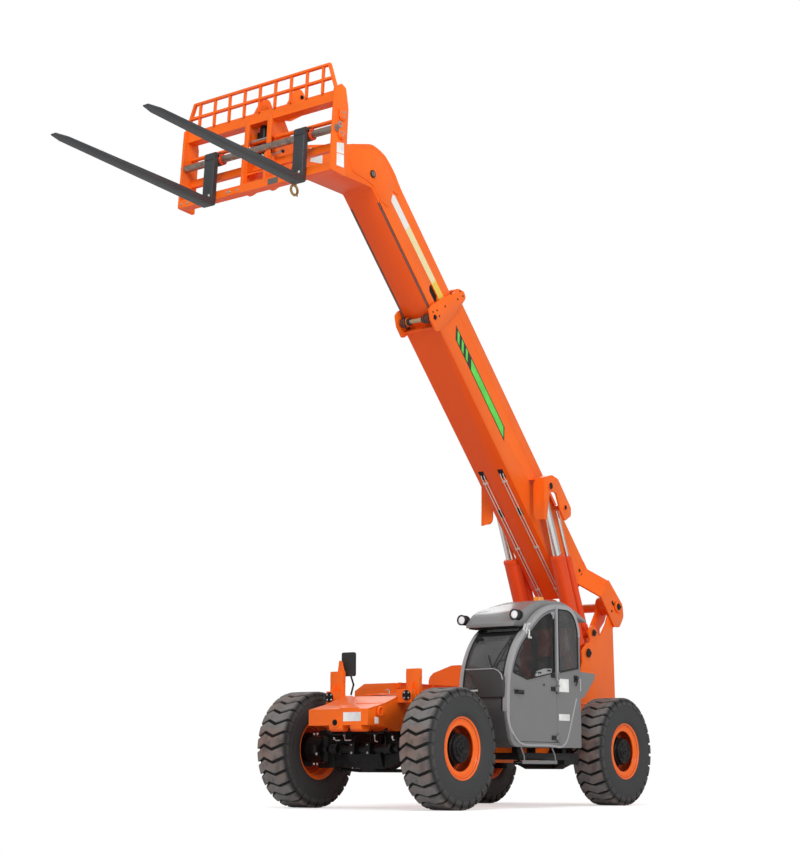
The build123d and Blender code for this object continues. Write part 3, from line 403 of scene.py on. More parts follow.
# ---------------------------------------------------------------- kinds of finish
DUST = (0.4, 0.36, 0.31)
CLAY = (1.15, 0.82, 0.72)        # what dried mud does to the rubber's colour


def paint(name, colour, shade, gloss=0.32, coat=0.5, dust=0.12, scuffs=0.5, shine=0.5, kept=None, well=None):
    """Sprayed paint: slight orange peel, tone that drifts, rubbed spots, and dust on what faces up.
    kept is a deeper colour painted on faces that look down, and well a near-black red painted deep inside a
    rim: both are painted shade."""
    f = Finish(name)
    drift = f.noise(1.7, 2.0)
    peel = f.noise(260.0, 1.0)
    specks = f.noise(38.0, 4.0, 0.7)
    streaks = f.noise(9.0, 4.0, 0.65, f.place(1.0, 1.0, 0.25))
    lying = f.up().between(0.5, 1.0) * specks.between(0.35, 0.75) * dust
    rubbed = streaks.between(0.62, 0.8) * specks.between(0.5, 0.7) * scuffs
    base = f.blend(drift.between(0.3, 0.7), colour, shade)
    # painted shade: faces that look down turn to the deeper kept colour
    if kept:
        base = f.blend(f.up().between(-0.8, -0.1), kept, base)
    # painted shade: the rim's bore and the deep part of its well take the dark well colour
    if well:
        out = f.radius()
        bore = 1 - out.between(0.249, 0.2545)
        wall = out.between(0.256, 0.258) * (1 - out.between(0.277, 0.28))
        deep = 1 - f.axis("Y").size().between(0.135, 0.15)
        base = f.blend(bore + wall * deep, base, well)
    base = f.blend(rubbed * 0.35, base, scaled(colour, 0.55))
    base = f.blend(lying, base, DUST)
    return f.finish(Base_Color=base, Roughness=gloss + drift * 0.06 + lying * 0.5 + rubbed * 0.2,
                    Coat_Weight=coat, Coat_Roughness=0.08, Specular_IOR_Level=shine,
                    Normal=f.bump(peel, 0.04, 0.001))


def rubber(name, colour, worn):
    """Tyre compound on a wheel whose middle is the origin: dusty bar tops, groove floors painted near black
    as painted shade, smooth wall.
    """
    f = Finish(name)
    grain = f.noise(90.0, 5.0, 0.7)
    patch = f.noise(7.0, 4.0, 0.6)
    across = f.axis("Y").size()
    out = f.radius()
    top = out.between(0.655, 0.672) * (1 - across.between(0.165, 0.2))
    floor = out.between(0.6, 0.632) * (1 - out.between(0.644, 0.66))
    dusty = (top + out.between(0.56, 0.62) * 0.25) * patch.between(0.15, 0.65)
    muddy = f.noise(2.2, 3.0).between(0.45, 0.65)
    mud = tuple(w * c for w, c in zip(worn, CLAY))
    base = f.blend(dusty, colour, f.blend(muddy, worn, mud))
    # painted shade: the groove floors are painted near black
    base = f.blend(floor * 0.85, base, (0.004, 0.004, 0.004))
    base = f.blend(grain.between(0.55, 0.8) * 0.3, base, scaled(colour, 1.9))
    return f.finish(Base_Color=base, Roughness=0.62 + grain * 0.12, Normal=f.bump(grain, 0.35, 0.002))


def steel(name, colour, rough, spots=0.0, dark=(0.1, 0.05, 0.025)):
    """Bare steel, drawn lengthwise, with darker spots where it is worn or oiled."""
    f = Finish(name)
    streak = f.noise(60.0, 3.0)
    patch = f.noise(14.0, 5.0, 0.7)
    worn = patch.between(0.45, 0.7) * spots
    return f.finish(Base_Color=f.blend(worn, colour, dark), Metallic=1 - worn * 0.6,
                    Roughness=rough + streak * 0.12 + worn * 0.25, Normal=f.bump(patch, 0.1, 0.001))


def moulded(name, colour, rough=0.55, grain=300.0, sheen=0.0):
    """Moulded plastic or sprayed black: fine grain and faint wear."""
    f = Finish(name)
    fine, patch = f.noise(grain, 2.0), f.noise(5.0, 3.0)
    base = f.blend(patch.between(0.35, 0.7), colour, scaled(colour, 1.35, 0.002))
    return f.finish(Base_Color=base, Roughness=rough + fine * 0.12, Coat_Weight=sheen,
                    Normal=f.bump(fine, 0.15, 0.0006))


def glass(name, colour, alpha):
    """Tinted safety glass with a faint smear of dust."""
    f = Finish(name)
    smear = f.noise(5.0, 4.0, 0.6)
    return f.finish(Base_Color=f.blend(smear.between(0.5, 0.8) * 0.2, colour, DUST),
                    Roughness=0.03 + smear * 0.04, Alpha=alpha + smear * 0.06)


def lens(name, colour, glow):
    """Ribbed lamp lens."""
    f = Finish(name)
    ribs = f.waves("Y", 40.0)
    return f.finish(Base_Color=colour, Roughness=0.12 + ribs * 0.05, Coat_Weight=0.6, Emission_Strength=glow,
                    Emission_Color=(*colour, 1.0), Normal=f.bump(ribs, 0.4, 0.002))


def cloth(name, colour):
    """Woven seat cover."""
    f = Finish(name)
    weave = f.waves("X", 220.0) * f.waves("Z", 220.0)
    fade = f.noise(4.0, 3.0)
    base = f.blend(weave * 0.5 + fade * 0.3, colour, scaled(colour, 2.2, 0.004))
    return f.finish(Base_Color=base, Roughness=0.85, Sheen_Weight=0.3, Normal=f.bump(weave, 0.5, 0.0008))


def strip_finish(name, stops):
    """Sticker that changes colour along the boom, by its distance from the pivot."""
    f = Finish(name)
    ahead = (cos(BOOM_ANGLE), 0.0, sin(BOOM_ANGLE))
    along = f.node("ShaderNodeVectorMath", dict(operation="DOT_PRODUCT"), f.place(), ahead, pick=1)
    along = along - Vector(ahead).dot(at(BOOM_PIVOT[0], 0, BOOM_PIVOT[1]))
    low, high = stops[0][0], stops[-1][0]
    ramp = f.node("ShaderNodeValToRGB", None, along.between(low, high))
    bands = ramp.socket.node.color_ramp
    bands.interpolation = "CONSTANT"
    while len(bands.elements) < len(stops):
        bands.elements.new(0.5)
    for element, (place, colour) in zip(bands.elements, stops):
        element.position, element.color = (place - low) / (high - low), (*colour, 1.0)
    fade = f.noise(20.0, 3.0)
    return f.finish(Base_Color=f.blend(fade.between(0.55, 0.8) * 0.25, ramp, (0.5, 0.45, 0.4)),
                    Roughness=0.35 + fade * 0.1)


# ---------------------------------------------------------------- finishes
SUNNY, FADED = (1.0, 0.165, 0.012), (0.96, 0.145, 0.01)
# kept: deeper orange on faces that look down, painted shade
ORANGE = paint("orange_paint", SUNNY, FADED, coat=0.06, shine=0.22, kept=(0.92, 0.095, 0.007))
# well: near-black red inside the rims' wells, painted shade
RIM_PAINT = paint("rim_paint", SUNNY, FADED, coat=0.1, shine=0.3, well=(0.36, 0.035, 0.006))
# orange in the tone of its shaded undersides: painted shade on parts that sit in shadow
SHADED_ORANGE = paint("shaded_orange_paint", (0.84, 0.075, 0.008), (0.78, 0.062, 0.006), gloss=0.38, coat=0.08,
                    shine=0.3)
GREY = paint("cab_grey_paint", (0.2, 0.2, 0.202), (0.185, 0.185, 0.187), gloss=0.42, coat=0.2, dust=0.08)
SILVER = paint("cab_silver_paint", (0.25, 0.25, 0.255), (0.22, 0.22, 0.225), gloss=0.3, coat=0.35, dust=0.08)
BAND = paint("pillar_silver", (0.38, 0.38, 0.39), (0.34, 0.34, 0.35), gloss=0.26, coat=0.4, dust=0.04)
SHADED = paint("dark_grey_paint", (0.052, 0.052, 0.054), (0.044, 0.044, 0.046), gloss=0.45, coat=0.1,
               dust=0.1)
BLACK = paint("black_paint", (0.006, 0.006, 0.0065), (0.01, 0.01, 0.01), gloss=0.42, coat=0.05, dust=0.04,
              shine=0.22)
FORK = paint("fork_paint", (0.03, 0.032, 0.036), (0.045, 0.047, 0.05), gloss=0.42, coat=0.1, scuffs=0.9)
TREAD = rubber("tread_rubber", (0.036, 0.037, 0.038), (0.2, 0.19, 0.184))
SPACER = moulded("tan_spacer", (0.42, 0.3, 0.17), 0.5, 80.0)
PIPE = paint("plated_pipe", (0.76, 0.66, 0.58), (0.6, 0.52, 0.45), gloss=0.35, coat=0.3, dust=0.0)
FLASH = moulded("green_sticker", (0.1, 0.6, 0.06), 0.35, 120.0, 0.2)
FLASH_DARK = moulded("dark_sticker", (0.012, 0.02, 0.012), 0.35, 120.0, 0.2)
BRIGHT = paint("bright_fittings", (0.72, 0.72, 0.72), (0.6, 0.6, 0.6), gloss=0.25, dust=0.0)
CHROME = steel("rod_chrome", (0.8, 0.79, 0.77), 0.08)
ZINC = steel("zinc_fittings", (0.58, 0.58, 0.58), 0.34, 0.15, (0.16, 0.15, 0.14))
WORN_STEEL = steel("worn_shaft", (0.42, 0.35, 0.3), 0.34, 0.8)
BRASS = steel("yellow_passivated", (0.52, 0.33, 0.12), 0.38, 0.6)
PLASTIC = moulded("black_plastic", (0.016, 0.016, 0.017))
TRIM = moulded("rubber_trim", (0.008, 0.008, 0.008), 0.7, 150.0)
# near-black sheets laid in slots, holes, gaps and under the visor: painted shade
PAINTED_SHADE = moulded("painted_shade_opening", (0.004, 0.004, 0.004), 0.85)
STRIP = moulded("wear_strip", (0.1, 0.095, 0.09), 0.5, 60.0)
SIGN = moulded("blank_plate", (0.72, 0.72, 0.71), 0.35, 120.0, 0.2)
AMBER = lens("amber_lens", (0.95, 0.3, 0.02), 0.15)
CLEAR = lens("clear_lens", (0.85, 0.86, 0.87), 0.25)
RED = lens("red_lens", (0.55, 0.02, 0.02), 0.05)
MIRROR = steel("mirror_glass", (0.82, 0.83, 0.85), 0.02)
GLASS = glass("tinted_glass", (0.012, 0.013, 0.014), 0.5)
PANE = glass("front_glass", (0.085, 0.088, 0.09), 0.55)
COVER = cloth("seat_cloth", (0.012, 0.012, 0.014))
MARKS = strip_finish("side_strip", [(5.0, (0.85, 0.6, 0.08)), (5.38, (0.86, 0.76, 0.42)),
                                    (6.17, (0.84, 0.83, 0.8)), (6.8, (0.84, 0.83, 0.8))])

# finish of each solid piece, by its name or the start of it; ORANGE for the rest
FINISH_OF = dict(engine_block=BLACK, outriggers=BLACK, front_axle=BLACK, rear_axle=BLACK, knuckle=BLACK,
                 forks=FORK, fork_shaft=WORN_STEEL, lifting_hook=BRASS, lift_rod=CHROME, level_rod=CHROME,
                 lift_barrel=SHADED_ORANGE, level_barrel=SHADED_ORANGE, cab_shell=SHADED, cab_door=GREY,
                 cab_side_frame=GREY, cab_roof=SILVER, cab_controls=PLASTIC, mirror=PLASTIC,
                 work_lamps=PLASTIC, cab_seat=COVER, cab_windows=PANE, cab_door_window=GLASS)
# pressed and welded plate has eased edges that catch the light
EASED = dict(boom_base=0.004, boom_fly=0.004, tower=0.004, chassis_frame=0.005, counterweight=0.006,
             carriage_frame=0.003, engine_housing=0.006, engine_hood_lid=0.006, outriggers=0.003, forks=0.004,
             cab_shell=0.004, cab_door=0.003, cab_side_frame=0.004, cab_roof=0.006, mirror=0.006,
             front_axle=0.004, rear_axle=0.004)
for name, obj in NODES.items():
    fitting = [key for key in FINISH_OF if name.startswith(key)]
    obj.data.materials.clear()
    obj.data.materials.append(FINISH_OF[max(fitting, key=len)] if fitting else ORANGE)
    obj.data.shade_smooth()
    obj.data.set_sharp_from_angle(angle=radians(30))
    if name in EASED:
        weld = obj.modifiers.new("weld", "WELD")
        weld.merge_threshold = 0.00002
        flats = obj.modifiers.new("flats", "DECIMATE")
        flats.decimate_type, flats.angle_limit = "DISSOLVE", radians(0.6)
        ease_edges(obj, EASED[name], 32)


# ---------------------------------------------------------------- wheels
LUGS = 28
ZIGZAG = ((-0.18, 0.0), (-0.09, 0.4), (0.029, 0.07), (0.18, 0.4))     # y, shift in pitches
BAR = 0.78                       # share of the pitch


def bar_shift(y):
    """Shift of the bars round the tyre, in pitches, at a place across the tread."""
    y = max(ZIGZAG[0][0], min(ZIGZAG[-1][0], y))
    for (y0, s0), (y1, s1) in zip(ZIGZAG, ZIGZAG[1:]):
        if y <= y1:
            return s0 + (s1 - s0) * (y - y0) / (y1 - y0)
    return ZIGZAG[-1][1]


def tyre_form():
    """Tyre round its own middle: bar tops and groove floors share one grid that follows the zigzag."""
    # side wall from the bead out: y, radius
    wall = [(0.169, 0.3185), (0.186, 0.34), (0.199, 0.366), (0.205, 0.374), (0.2065, 0.384), (0.212, 0.388),
            (0.2175, 0.412), (0.2195, 0.45), (0.2195, 0.5), (0.217, 0.52), (0.219, 0.526), (0.217, 0.532),
            (0.213, 0.56)]
    # shoulder: y and radius on a bar, then radius and y in a groove
    shoulder = [(0.2125, 0.574, 0.57, 0.2125), (0.22, 0.579, 0.576, 0.209),
                (0.2205, 0.588, 0.584, 0.206), (0.212, 0.62, 0.608, 0.197), (0.2, 0.648, 0.626, 0.185),
                (0.188, 0.667, 0.634, 0.176), (0.179, 0.6735, 0.638, 0.169), (0.168, TYRE_R, GROOVE_R, 0.16)]
    tread = (0.13, 0.096, 0.09, 0.084, 0.05, 0.029, 0.0)
    half = ([(y, r, r, y) for y, r in wall] + shoulder + [(y, TYRE_R, GROOVE_R, y) for y in tread])
    across = [(-y, bar, floor, -fy) for y, bar, floor, fy in half] + list(reversed(half[:-1]))
    # round one pitch: place, height from the groove floor
    steps = [(0.0, 0.0), (0.022, 0.9), (0.04, 1.0), (0.26, 1.0), (0.5, 1.0), (BAR - 0.04, 1.0),
             (BAR - 0.022, 0.9), (BAR, 0.0), (BAR + 0.03, -0.04), (0.97, -0.04)]
    spots, faces, n = [], [], len(across)
    for lug in range(LUGS):
        for place, height in steps:
            for y, bar, floor, fy in across:
                turn = (lug + place + bar_shift(y)) * 2 * pi / LUGS
                r = floor + (bar - floor) * height
                spots.append((r * cos(turn), fy + (y - fy) * height, r * sin(turn)))
    rings = LUGS * len(steps)
    for k in range(rings):
        a, b = k * n, (k + 1) % rings * n
        faces += [(a + i, a + i + 1, b + i + 1, b + i) for i in range(n - 1)]
        faces.append((a + n - 1, a, b, b + n - 1))
    return Form(spots, faces)


def rim_form():
    """Rim round its own middle, outside towards +y: flange, bead ring, well and dished disc."""
    profile = [(0.35, 0.193), (0.353, 0.19), (0.353, 0.186), (0.322, 0.171), (0.3175, 0.166),
               (0.3175, -0.166), (0.322, -0.171), (0.353, -0.186), (0.353, -0.19), (0.35, -0.193),
               (0.341, -0.192), (0.305, -0.16), (0.3, -0.05), (0.232, -0.03), (0.2, -0.024), (0.2, -0.006),
               (0.236, 0.0), (0.262, 0.008), (0.274, 0.024), (0.277, 0.07), (0.274, 0.122), (0.264, 0.138),
               (0.2555, 0.146), (0.2525, 0.156), (0.256, 0.164), (0.268, 0.168), (0.296, 0.171),
               (0.306, 0.17), (0.311, 0.165), (0.316, 0.166), (0.32, 0.173), (0.33, 0.177), (0.336, 0.185),
               (0.341, 0.19)]
    return lathe(profile, (0, 0, 0), Y, 96, closed=True)


def hub_form():
    """Planetary hub of the driven axle: flange, drum, stepped cover and plug, with its studs and bolts."""
    drum = lathe([(0.0, -0.02), (0.214, -0.02), (0.214, 0.012), (0.208, 0.018), (0.176, 0.02),
                  (0.171, 0.028), (0.171, 0.12), (0.168, 0.13), (0.16, 0.136), (0.157, 0.142), (0.157, 0.168),
                  (0.153, 0.178), (0.146, 0.182), (0.14, 0.176), (0.132, 0.174), (0.1, 0.176), (0.096, 0.186),
                  (0.09, 0.19), (0.082, 0.186), (0.076, 0.182), (0.046, 0.184), (0.042, 0.194),
                  (0.036, 0.198), (0.0, 0.199)],
                 (0, 0, 0), Y, 64)
    return total((drum, bolts_round((0, 0.017, 0), Y, 0.194, 20, 0.011),
                  bolts_round((0, 0.173, 0), Y, 0.117, 10, 0.008, 0.1),
                  bolt((0, 0.18, 0.062), Y, 0.009), bolt((0, 0.198, 0), Y, 0.014, washer=False)))


def wheels():
    """Tyre, rim and hub on each wheel; rim and hub are turned so that they look outwards."""
    turned = Matrix.Rotation(pi, 4, "Z")
    kinds = (("tyre", tyre_form(), TREAD, "rubber"), ("rim", rim_form(), RIM_PAINT, "orange"),
             ("hub", hub_form(), BLACK, "black_paint"))
    made = {}
    for place, centre in WHEELS.items():
        for label, form, finish, slot in kinds:
            name, body = "detailed_" + label + "_" + place, "wheel_" + place
            turn = turned if centre.y < 0 and label != "tyre" else SCENE_FRAME
            key = (label, turn is turned)
            if key in made:
                obj = add_object(name, made[key])
            else:
                obj = Piece(name, finish, body, place=turn).add(form).build(sharp=32)
                made[key] = obj.data
            obj.matrix_world = Matrix.Translation(centre)
            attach(obj, body)
            if label != "hub":
                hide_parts(label + "_" + place)
    Piece.waiting.clear()


wheels()


# ---------------------------------------------------------------- cab
CELLS_PER_METRE = 20000          # points nearer than a cell are one point of an outline


def outlines(node, look, least):
    """Outlines of the faces that look a way, as closed loops of points, the longest first."""
    mesh, place = NODES[node].data, NODES[node].matrix_world
    look = Vector(look).normalized()
    ahead, where, edges = {}, {}, set()
    for face in mesh.polygons:
        if (place.to_3x3() @ face.normal).normalized().dot(look) < least:
            continue
        names = []
        for i in face.vertices:
            p = place @ mesh.vertices[i].co
            names.append(tuple(round(c * CELLS_PER_METRE) for c in p))
            where[names[-1]] = p
        for a, b in zip(names, names[1:] + names[:1]):
            if (b, a) in edges:
                edges.remove((b, a))
            elif a != b:
                edges.add((a, b))
    for a, b in edges:
        ahead.setdefault(a, []).append(b)
    loops = []
    while ahead:
        start = here = next(iter(ahead))
        loop = []
        while here in ahead:
            loop.append(where[here])
            onward = ahead[here].pop()
            if not ahead[here]:
                del ahead[here]
            here = onward
            if here == start:
                break
        if len(loop) > 2:
            loops.append(loop)
    return sorted(loops, key=lambda l: -sum((a - b).length for a, b in zip(l, l[1:] + l[:1])))


def side_ring():
    """The side frame's outline as (x, z) places on the machine, against the clock."""
    flat = [(p.x - REAR_AXLE_X, p.z) for p in outlines("cab_side_frame", Y, 0.9)[0]]
    area = sum(a[0] * b[1] - b[0] * a[1] for a, b in zip(flat, flat[1:] + flat[:1]))
    return flat if area > 0 else flat[::-1]


SIDE_RING = side_ring()


def bead(loop, r, out=0.0):
    """Rubber bead along a closed loop, moved outwards a little."""
    kept = [loop[0]]
    for p in loop[1:]:
        if (p - kept[-1]).length > r * 0.8:
            kept.append(p)
    return tube([p + Vector((0, out, 0)) for p in kept + [kept[0]]], r, 8)


def screen_place(y, z, out=0.0):
    """Place on the cab's curved front at a height."""
    front = sorted((p[1], p[0]) for p in SIDE_RING if p[0] > 1.9 and p[1] > 0.75)
    for (z0, x0), (z1, x1) in zip(front, front[1:]):
        if z0 <= z <= z1:
            slope = (x1 - x0) / max(z1 - z0, 1e-6)
            length = hypot(1, slope)
            return Vector((x0 + slope * (z - z0) + out / length, y, z - out * slope / length))
    return Vector((front[-1][1], y, z))


def cab_arch():
    """Pale bands round the door and down both front corners, with the thin moulding below the door."""
    start = next(i for i, (x, z) in enumerate(SIDE_RING) if x > 2 and z < 0.9 and SIDE_RING[i - 1][1] <= z)
    turned = SIDE_RING[start:] + SIDE_RING[:start]
    band = [(x, z) for x, z in turned if (x > 1.9 and z > 1.09) or z > 1.66]
    wide, narrow, back, front = 0.058, 0.03, 1.198, 1.2112       # widths; the band's y
    corner = smooth_path([(2.56, 0.85), (2.61, 0.897), (2.646, 0.96), (2.667, 1.03),
                          (band[0][0] - wide / 2, band[0][1])])
    widths = [narrow + (wide - narrow) * i / (len(corner) - 1) for i in range(len(corner))]
    sill = smooth_path([(1.148, 1.304), (1.246, 1.07), (1.373, 0.808), (1.46, 0.735), (1.552, 0.712),
                        (1.8, 0.7285), (2.287, 0.7285), (2.46, 0.77), (2.56, 0.85)])
    Piece("cab_arch_band", BAND, edge=0.003).add(
        strap(band, wide, back, front, shift=wide / 2), strap(band, 0.01, 1.15, front, shift=0.002),
        strap(corner, widths, back, front), strap(sill, 0.024, back, front))
    far = [(x, z) for x, z in band if x > 2.3 and z < 2.12]
    # folded edge along the top of the cover before the windscreen
    fold = [(0.65, 1.6), (1.05, 1.598), (1.108, 1.575), (1.15, 1.53), (1.17, 1.47)]
    Piece("cab_pillar_trim", BAND, edge=0.003).add(
        strap(far, 0.01, 0.528, 0.586, shift=0.002), tube([(2.728, *yz) for yz in fold], 0.008, 8),
        block(1.583, 1.617, 1.204, 1.228, 1.5, 2.395))


def cab_seals():
    side = next(l for l in outlines("cab_windows", Y, 0.9) if l[0].y > 1.2)
    front = next(l for l in outlines("cab_windows", (1, 0, 0.3), 0.5)
                 if max(p.x for p in l) > at(2.5, 0, 0).x)
    Piece("window_seals", TRIM, place=SCENE_FRAME).add(bead(side, 0.009, 0.001), bead(front, 0.011))
    door = outlines("cab_door_window", Y, 0.9)[0]
    Piece("door_window_seal", TRIM, "cab_door", place=SCENE_FRAME).add(bead(door, 0.009, 0.001))
    # near-black sheet under the visor and near-black strips beside the windscreen: painted shade
    top = [(x, z) for x, z in SIDE_RING if x > 2.2 and 2.0 < z < 2.18]
    edges = [(x, z) for x, z in SIDE_RING if x > 2.3 and 1.1 < z < 2.12]
    Piece("head_panel", PAINTED_SHADE, edge=0.002).add(
        strap(top, 0.012, 0.588, 1.15, shift=-0.001), strap(edges, 0.01, 1.132, 1.15, shift=0.001),
        strap(edges, 0.01, 0.586, 0.6, shift=0.001),
        block(2.28, 2.44, 0.5, 1.19, 2.098, 2.114), block(2.47, 2.5, 0.635, 0.735, 1.95, 1.985))


def wiper():
    arms = (([(1.128, 1.96, 0.012), (1.12, 1.93, 0.03), (1.06, 1.76, 0.034), (0.985, 1.6, 0.022)],
             0.008, 8),
            ([(1.135, 1.89, 0.012), (1.125, 1.85, 0.03), (1.085, 1.7, 0.032), (1.04, 1.585, 0.022)],
             0.006, 8),
            ([(0.885, 1.76, 0.012), (0.93, 1.69, 0.012), (0.985, 1.6, 0.012), (1.045, 1.5, 0.012),
              (1.085, 1.43, 0.012)], 0.009, 6))
    whole = Piece("wiper", PLASTIC)
    for route, r, sides in arms:
        whole.add(tube([screen_place(*spot) for spot in route], r, sides))
    for y, z, r in ((1.128, 1.96, 0.026), (1.135, 1.89, 0.018)):
        whole.add(disc(screen_place(y, z), (1, 0, 0.4), r, 0.03, 20))


def door_fittings():
    y = CAB_OUT_Y
    foot = y - 0.002
    hinge_heights = (0.82, 1.4, 1.56)
    latch = Piece("door_latch_and_hinges", PLASTIC, "cab_door", 0.002).add(
        block(2.335, 2.53, foot, y + 0.01, 1.314, 1.362),
        block(2.4, 2.545, y + 0.02, y + 0.036, 1.338, 1.36),
        block(2.505, 2.53, y, y + 0.036, 1.336, 1.362), disc((2.375, y, 1.338), Y, 0.022, 0.024, 24),
        disc((1.889, y, 1.442), Y, 0.014, 0.008, 20))
    for z in hinge_heights:
        latch.add(block(1.64, 1.728, foot, y + 0.012, z - 0.026, z + 0.026),
                  bolts(Y, 0.01, (1.667, y + 0.012, z), (1.704, y + 0.012, z)))
    Piece("door_top_plate", BAND, "cab_door", 0.002).add(
        plate([(1.741, 2.318), (1.64, 2.328), (1.645, 2.256), (1.668, 2.24), (1.69, 2.288)], y - SUNK,
              y + 0.012),
        bolt((1.664, y + 0.011, 2.3), Y, 0.01), bolt((1.71, y + 0.011, 2.305), Y, 0.009))
    catch = Piece("door_catch", PLASTIC, edge=0.002)
    for z in hinge_heights:
        catch.add(block(1.552, 1.592, foot, y + 0.01, z - 0.052, z - 0.028),
                  block(1.552, 1.592, foot, y + 0.01, z + 0.028, z + 0.052))
    catch.add(block(1.135, 1.2, foot, y + 0.012, 1.5, 1.582),
              disc((1.166, y + 0.01, 1.55), Y, 0.024, 0.03, 24),
              tube([(1.166, y + 0.03, 1.55), (1.17, y + 0.034, 1.5), (1.18, y + 0.016, 1.455)], 0.009,
                   8))
    Piece("lock_case", ZINC, "cab_door", 0.003).add(
        plate([(2.08, 1.532), (1.735, 1.592), (1.735, 1.64), (1.9, 1.634), (2.05, 1.6)], y - 0.004,
              y + 0.016),
        disc((1.935, y + 0.016, 1.6), Y, 0.014, 0.006, 20))
    Piece("lock_levers", PLASTIC, "cab_door", 0.002).add(
        block(1.76, 1.83, y + 0.015, y + 0.022, 1.603, 1.625),
        block(1.975, 2.035, y + 0.015, y + 0.024, 1.57, 1.59))
    Piece("blank_plates_cab", SIGN, edge=0.0006).add(
        block(1.322, 1.545, y - SUNK, y + 0.0015, 1.372, 1.53),
        block(1.311, 1.556, y - SUNK, y + 0.0015, 1.028, 1.106),
        block(0.985, 1.038, 1.1735, 1.1762, 1.4, 1.552))


def stay_and_lamps():
    """Bright bracket above the door, grab rail before the screen, lamp rims and lenses, beacon."""
    y = CAB_OUT_Y
    Piece("stay_bracket", BRIGHT, edge=0.0015).add(
        strap([(2.292, 2.143), (2.338, 2.062)], 0.026, y, y + 0.012),
        strap([(2.192, 2.15), (2.24, 2.145), (2.286, 2.05), (2.262, 2.035)], 0.024, y, y + 0.014),
        bolts(Y, 0.01, (2.315, y + 0.011, 2.103), (2.255, y + 0.013, 2.115)),
        tube([(2.222, y + 0.01, 2.08), (2.226, y + 0.018, 2.04), (2.236, y + 0.02, 2.002)], 0.01, 10),
        lathe([(0, 0), (0.016, 0.004), (0.02, 0.014), (0.016, 0.024), (0, 0.028)],
              (2.238, y + 0.008, 1.99), Y, 20),
        lathe([(0, 0), (0.012, 0.003), (0.014, 0.01), (0, 0.018)], (2.18, y + 0.004, 1.987), Y, 20),
        tube([(2.735, 0.6, 1.318), (2.752, 0.64, 1.345), (2.758, 0.835, 1.35)], 0.011, 10))
    for label, ly, lz in (("right", 0.392, 2.215), ("left", 1.152, 2.248)):
        rim = Piece("lamp_rim_" + label, PLASTIC).add(
            lathe([(0.044, -0.002), (0.061, -0.002), (0.064, 0.004), (0.064, 0.016), (0.06, 0.02),
                   (0.05, 0.016), (0.046, 0.004)], (2.43, ly, lz), X, 40, closed=True))
        rim.add(*(sleeve((2.345 + 0.014 * k, ly, lz), X, 0.05, 0.0605, 0, 0.006) for k in range(4)))
        Piece("lamp_lens_" + label, CLEAR).add(
            lathe([(0, 0.012), (0.02, 0.0115), (0.038, 0.009), (0.049, 0.004), (0.049, -0.002), (0, -0.002)],
                  (2.431, ly, lz), X, 40))
    Piece("beacon", AMBER, edge=0.008).add(block(0.99, 1.095, 0.565, 0.655, 2.512, 2.59))
    Piece("beacon_foot", PLASTIC, edge=0.002).add(block(1.02, 1.066, 0.585, 0.64, 2.33, 2.515))


def step():
    """Bright edge of the step's tray, its ribbed tread and its hangers."""
    Piece("step_edge", GREY, edge=0.002).add(
        block(1.655, 2.415, 1.222, 1.232, 0.512, 0.552),
        *(block(1.68 + 0.045 * k, 1.705 + 0.045 * k, 1.118, 1.208, 0.521, 0.53) for k in range(16)))
    Piece("step_hangers", GREY).add(
        *(tube([(x, 1.228, 0.545), (x + 0.004, 1.226, 0.6), (x + 0.02, 1.212, 0.66),
                (x + 0.03, 1.2, 0.7)],
               0.009, 8) for x in (1.69, 2.37)))


cab_arch()
cab_seals()
wiper()
door_fittings()
stay_and_lamps()
step()


# ---------------------------------------------------------------- boom
def fly_sides():
    """Coloured strip and plates on the fly's sides, wear strips under its edges with painted shade in their
    gaps, painted shade inside the slots, pins at its head.
    """
    w, low = FLY_HALF_W, FLY_BOTTOM
    Piece("side_strips", MARKS, "boom_fly", 0.0005).both(
        plate([(5.0, -0.247), (5.0, -0.137), (6.6, -0.152), (6.672, -0.205), (6.61, -0.266),
               (5.42, -0.247)],
              w - SUNK, w + FILM))
    Piece("wear_strips", STRIP, "boom_fly", 0.0008).both(
        block(4.1, 6.69, 0.2, 0.219, low - 0.002, low + 0.006))
    # painted shade: near-black strips in the gaps beside the wear strips
    Piece("wear_strip_gaps", PAINTED_SHADE, "boom_fly", 0.0008).both(
        block(4.1, 6.7, 0.196, 0.201, low - 0.0018, low + 0.004),
        block(4.1, 6.7, 0.2185, w + 0.0016, low + 0.001, low + 0.012))
    Piece("boom_welds", SHADED_ORANGE, "boom_fly", 0.001).both(
        strap(smooth_path([(6.868, -0.385), (6.78, -0.378), (6.68, -0.376), (6.574, -0.377)], 4), 0.009,
              w - 0.002, w + 0.004),
        strap([(6.748, -0.2), (6.581, -0.095)], 0.009, w - 0.002, w + 0.004))
    # painted shade: near-black sheets inside the slots
    Piece("slot_liners", PAINTED_SHADE, "boom_fly", 0.001).both(block(5.1, 5.46, 0.196, 0.2, -0.4, -0.2))
    hub = (7.024, w + 0.0155, -0.386)
    Piece("head_pins", BLACK, "boom_fly").both(disc(hub, Y, 0.048, 0.009))
    Piece("head_pin_clips", ZINC, "boom_fly").both(
        sleeve(hub, Y, 0.022, 0.03, 0.007, 0.0115), bolt((7.024, w + 0.023, -0.386), Y, 0.01, washer=False))
    Piece("blank_plate_boom_head", SIGN, "boom_fly", 0.0005, MACHINE).add(
        plate([(5.191, 7.445), (4.966, 7.474), (4.963, 7.315), (5.199, 7.277)], w - SUNK, w + 0.0015),
        plate([(4.87, 7.575), (4.862, 7.56), (4.78, 7.499), (4.788, 7.514)], w - SUNK, w + 0.0015))


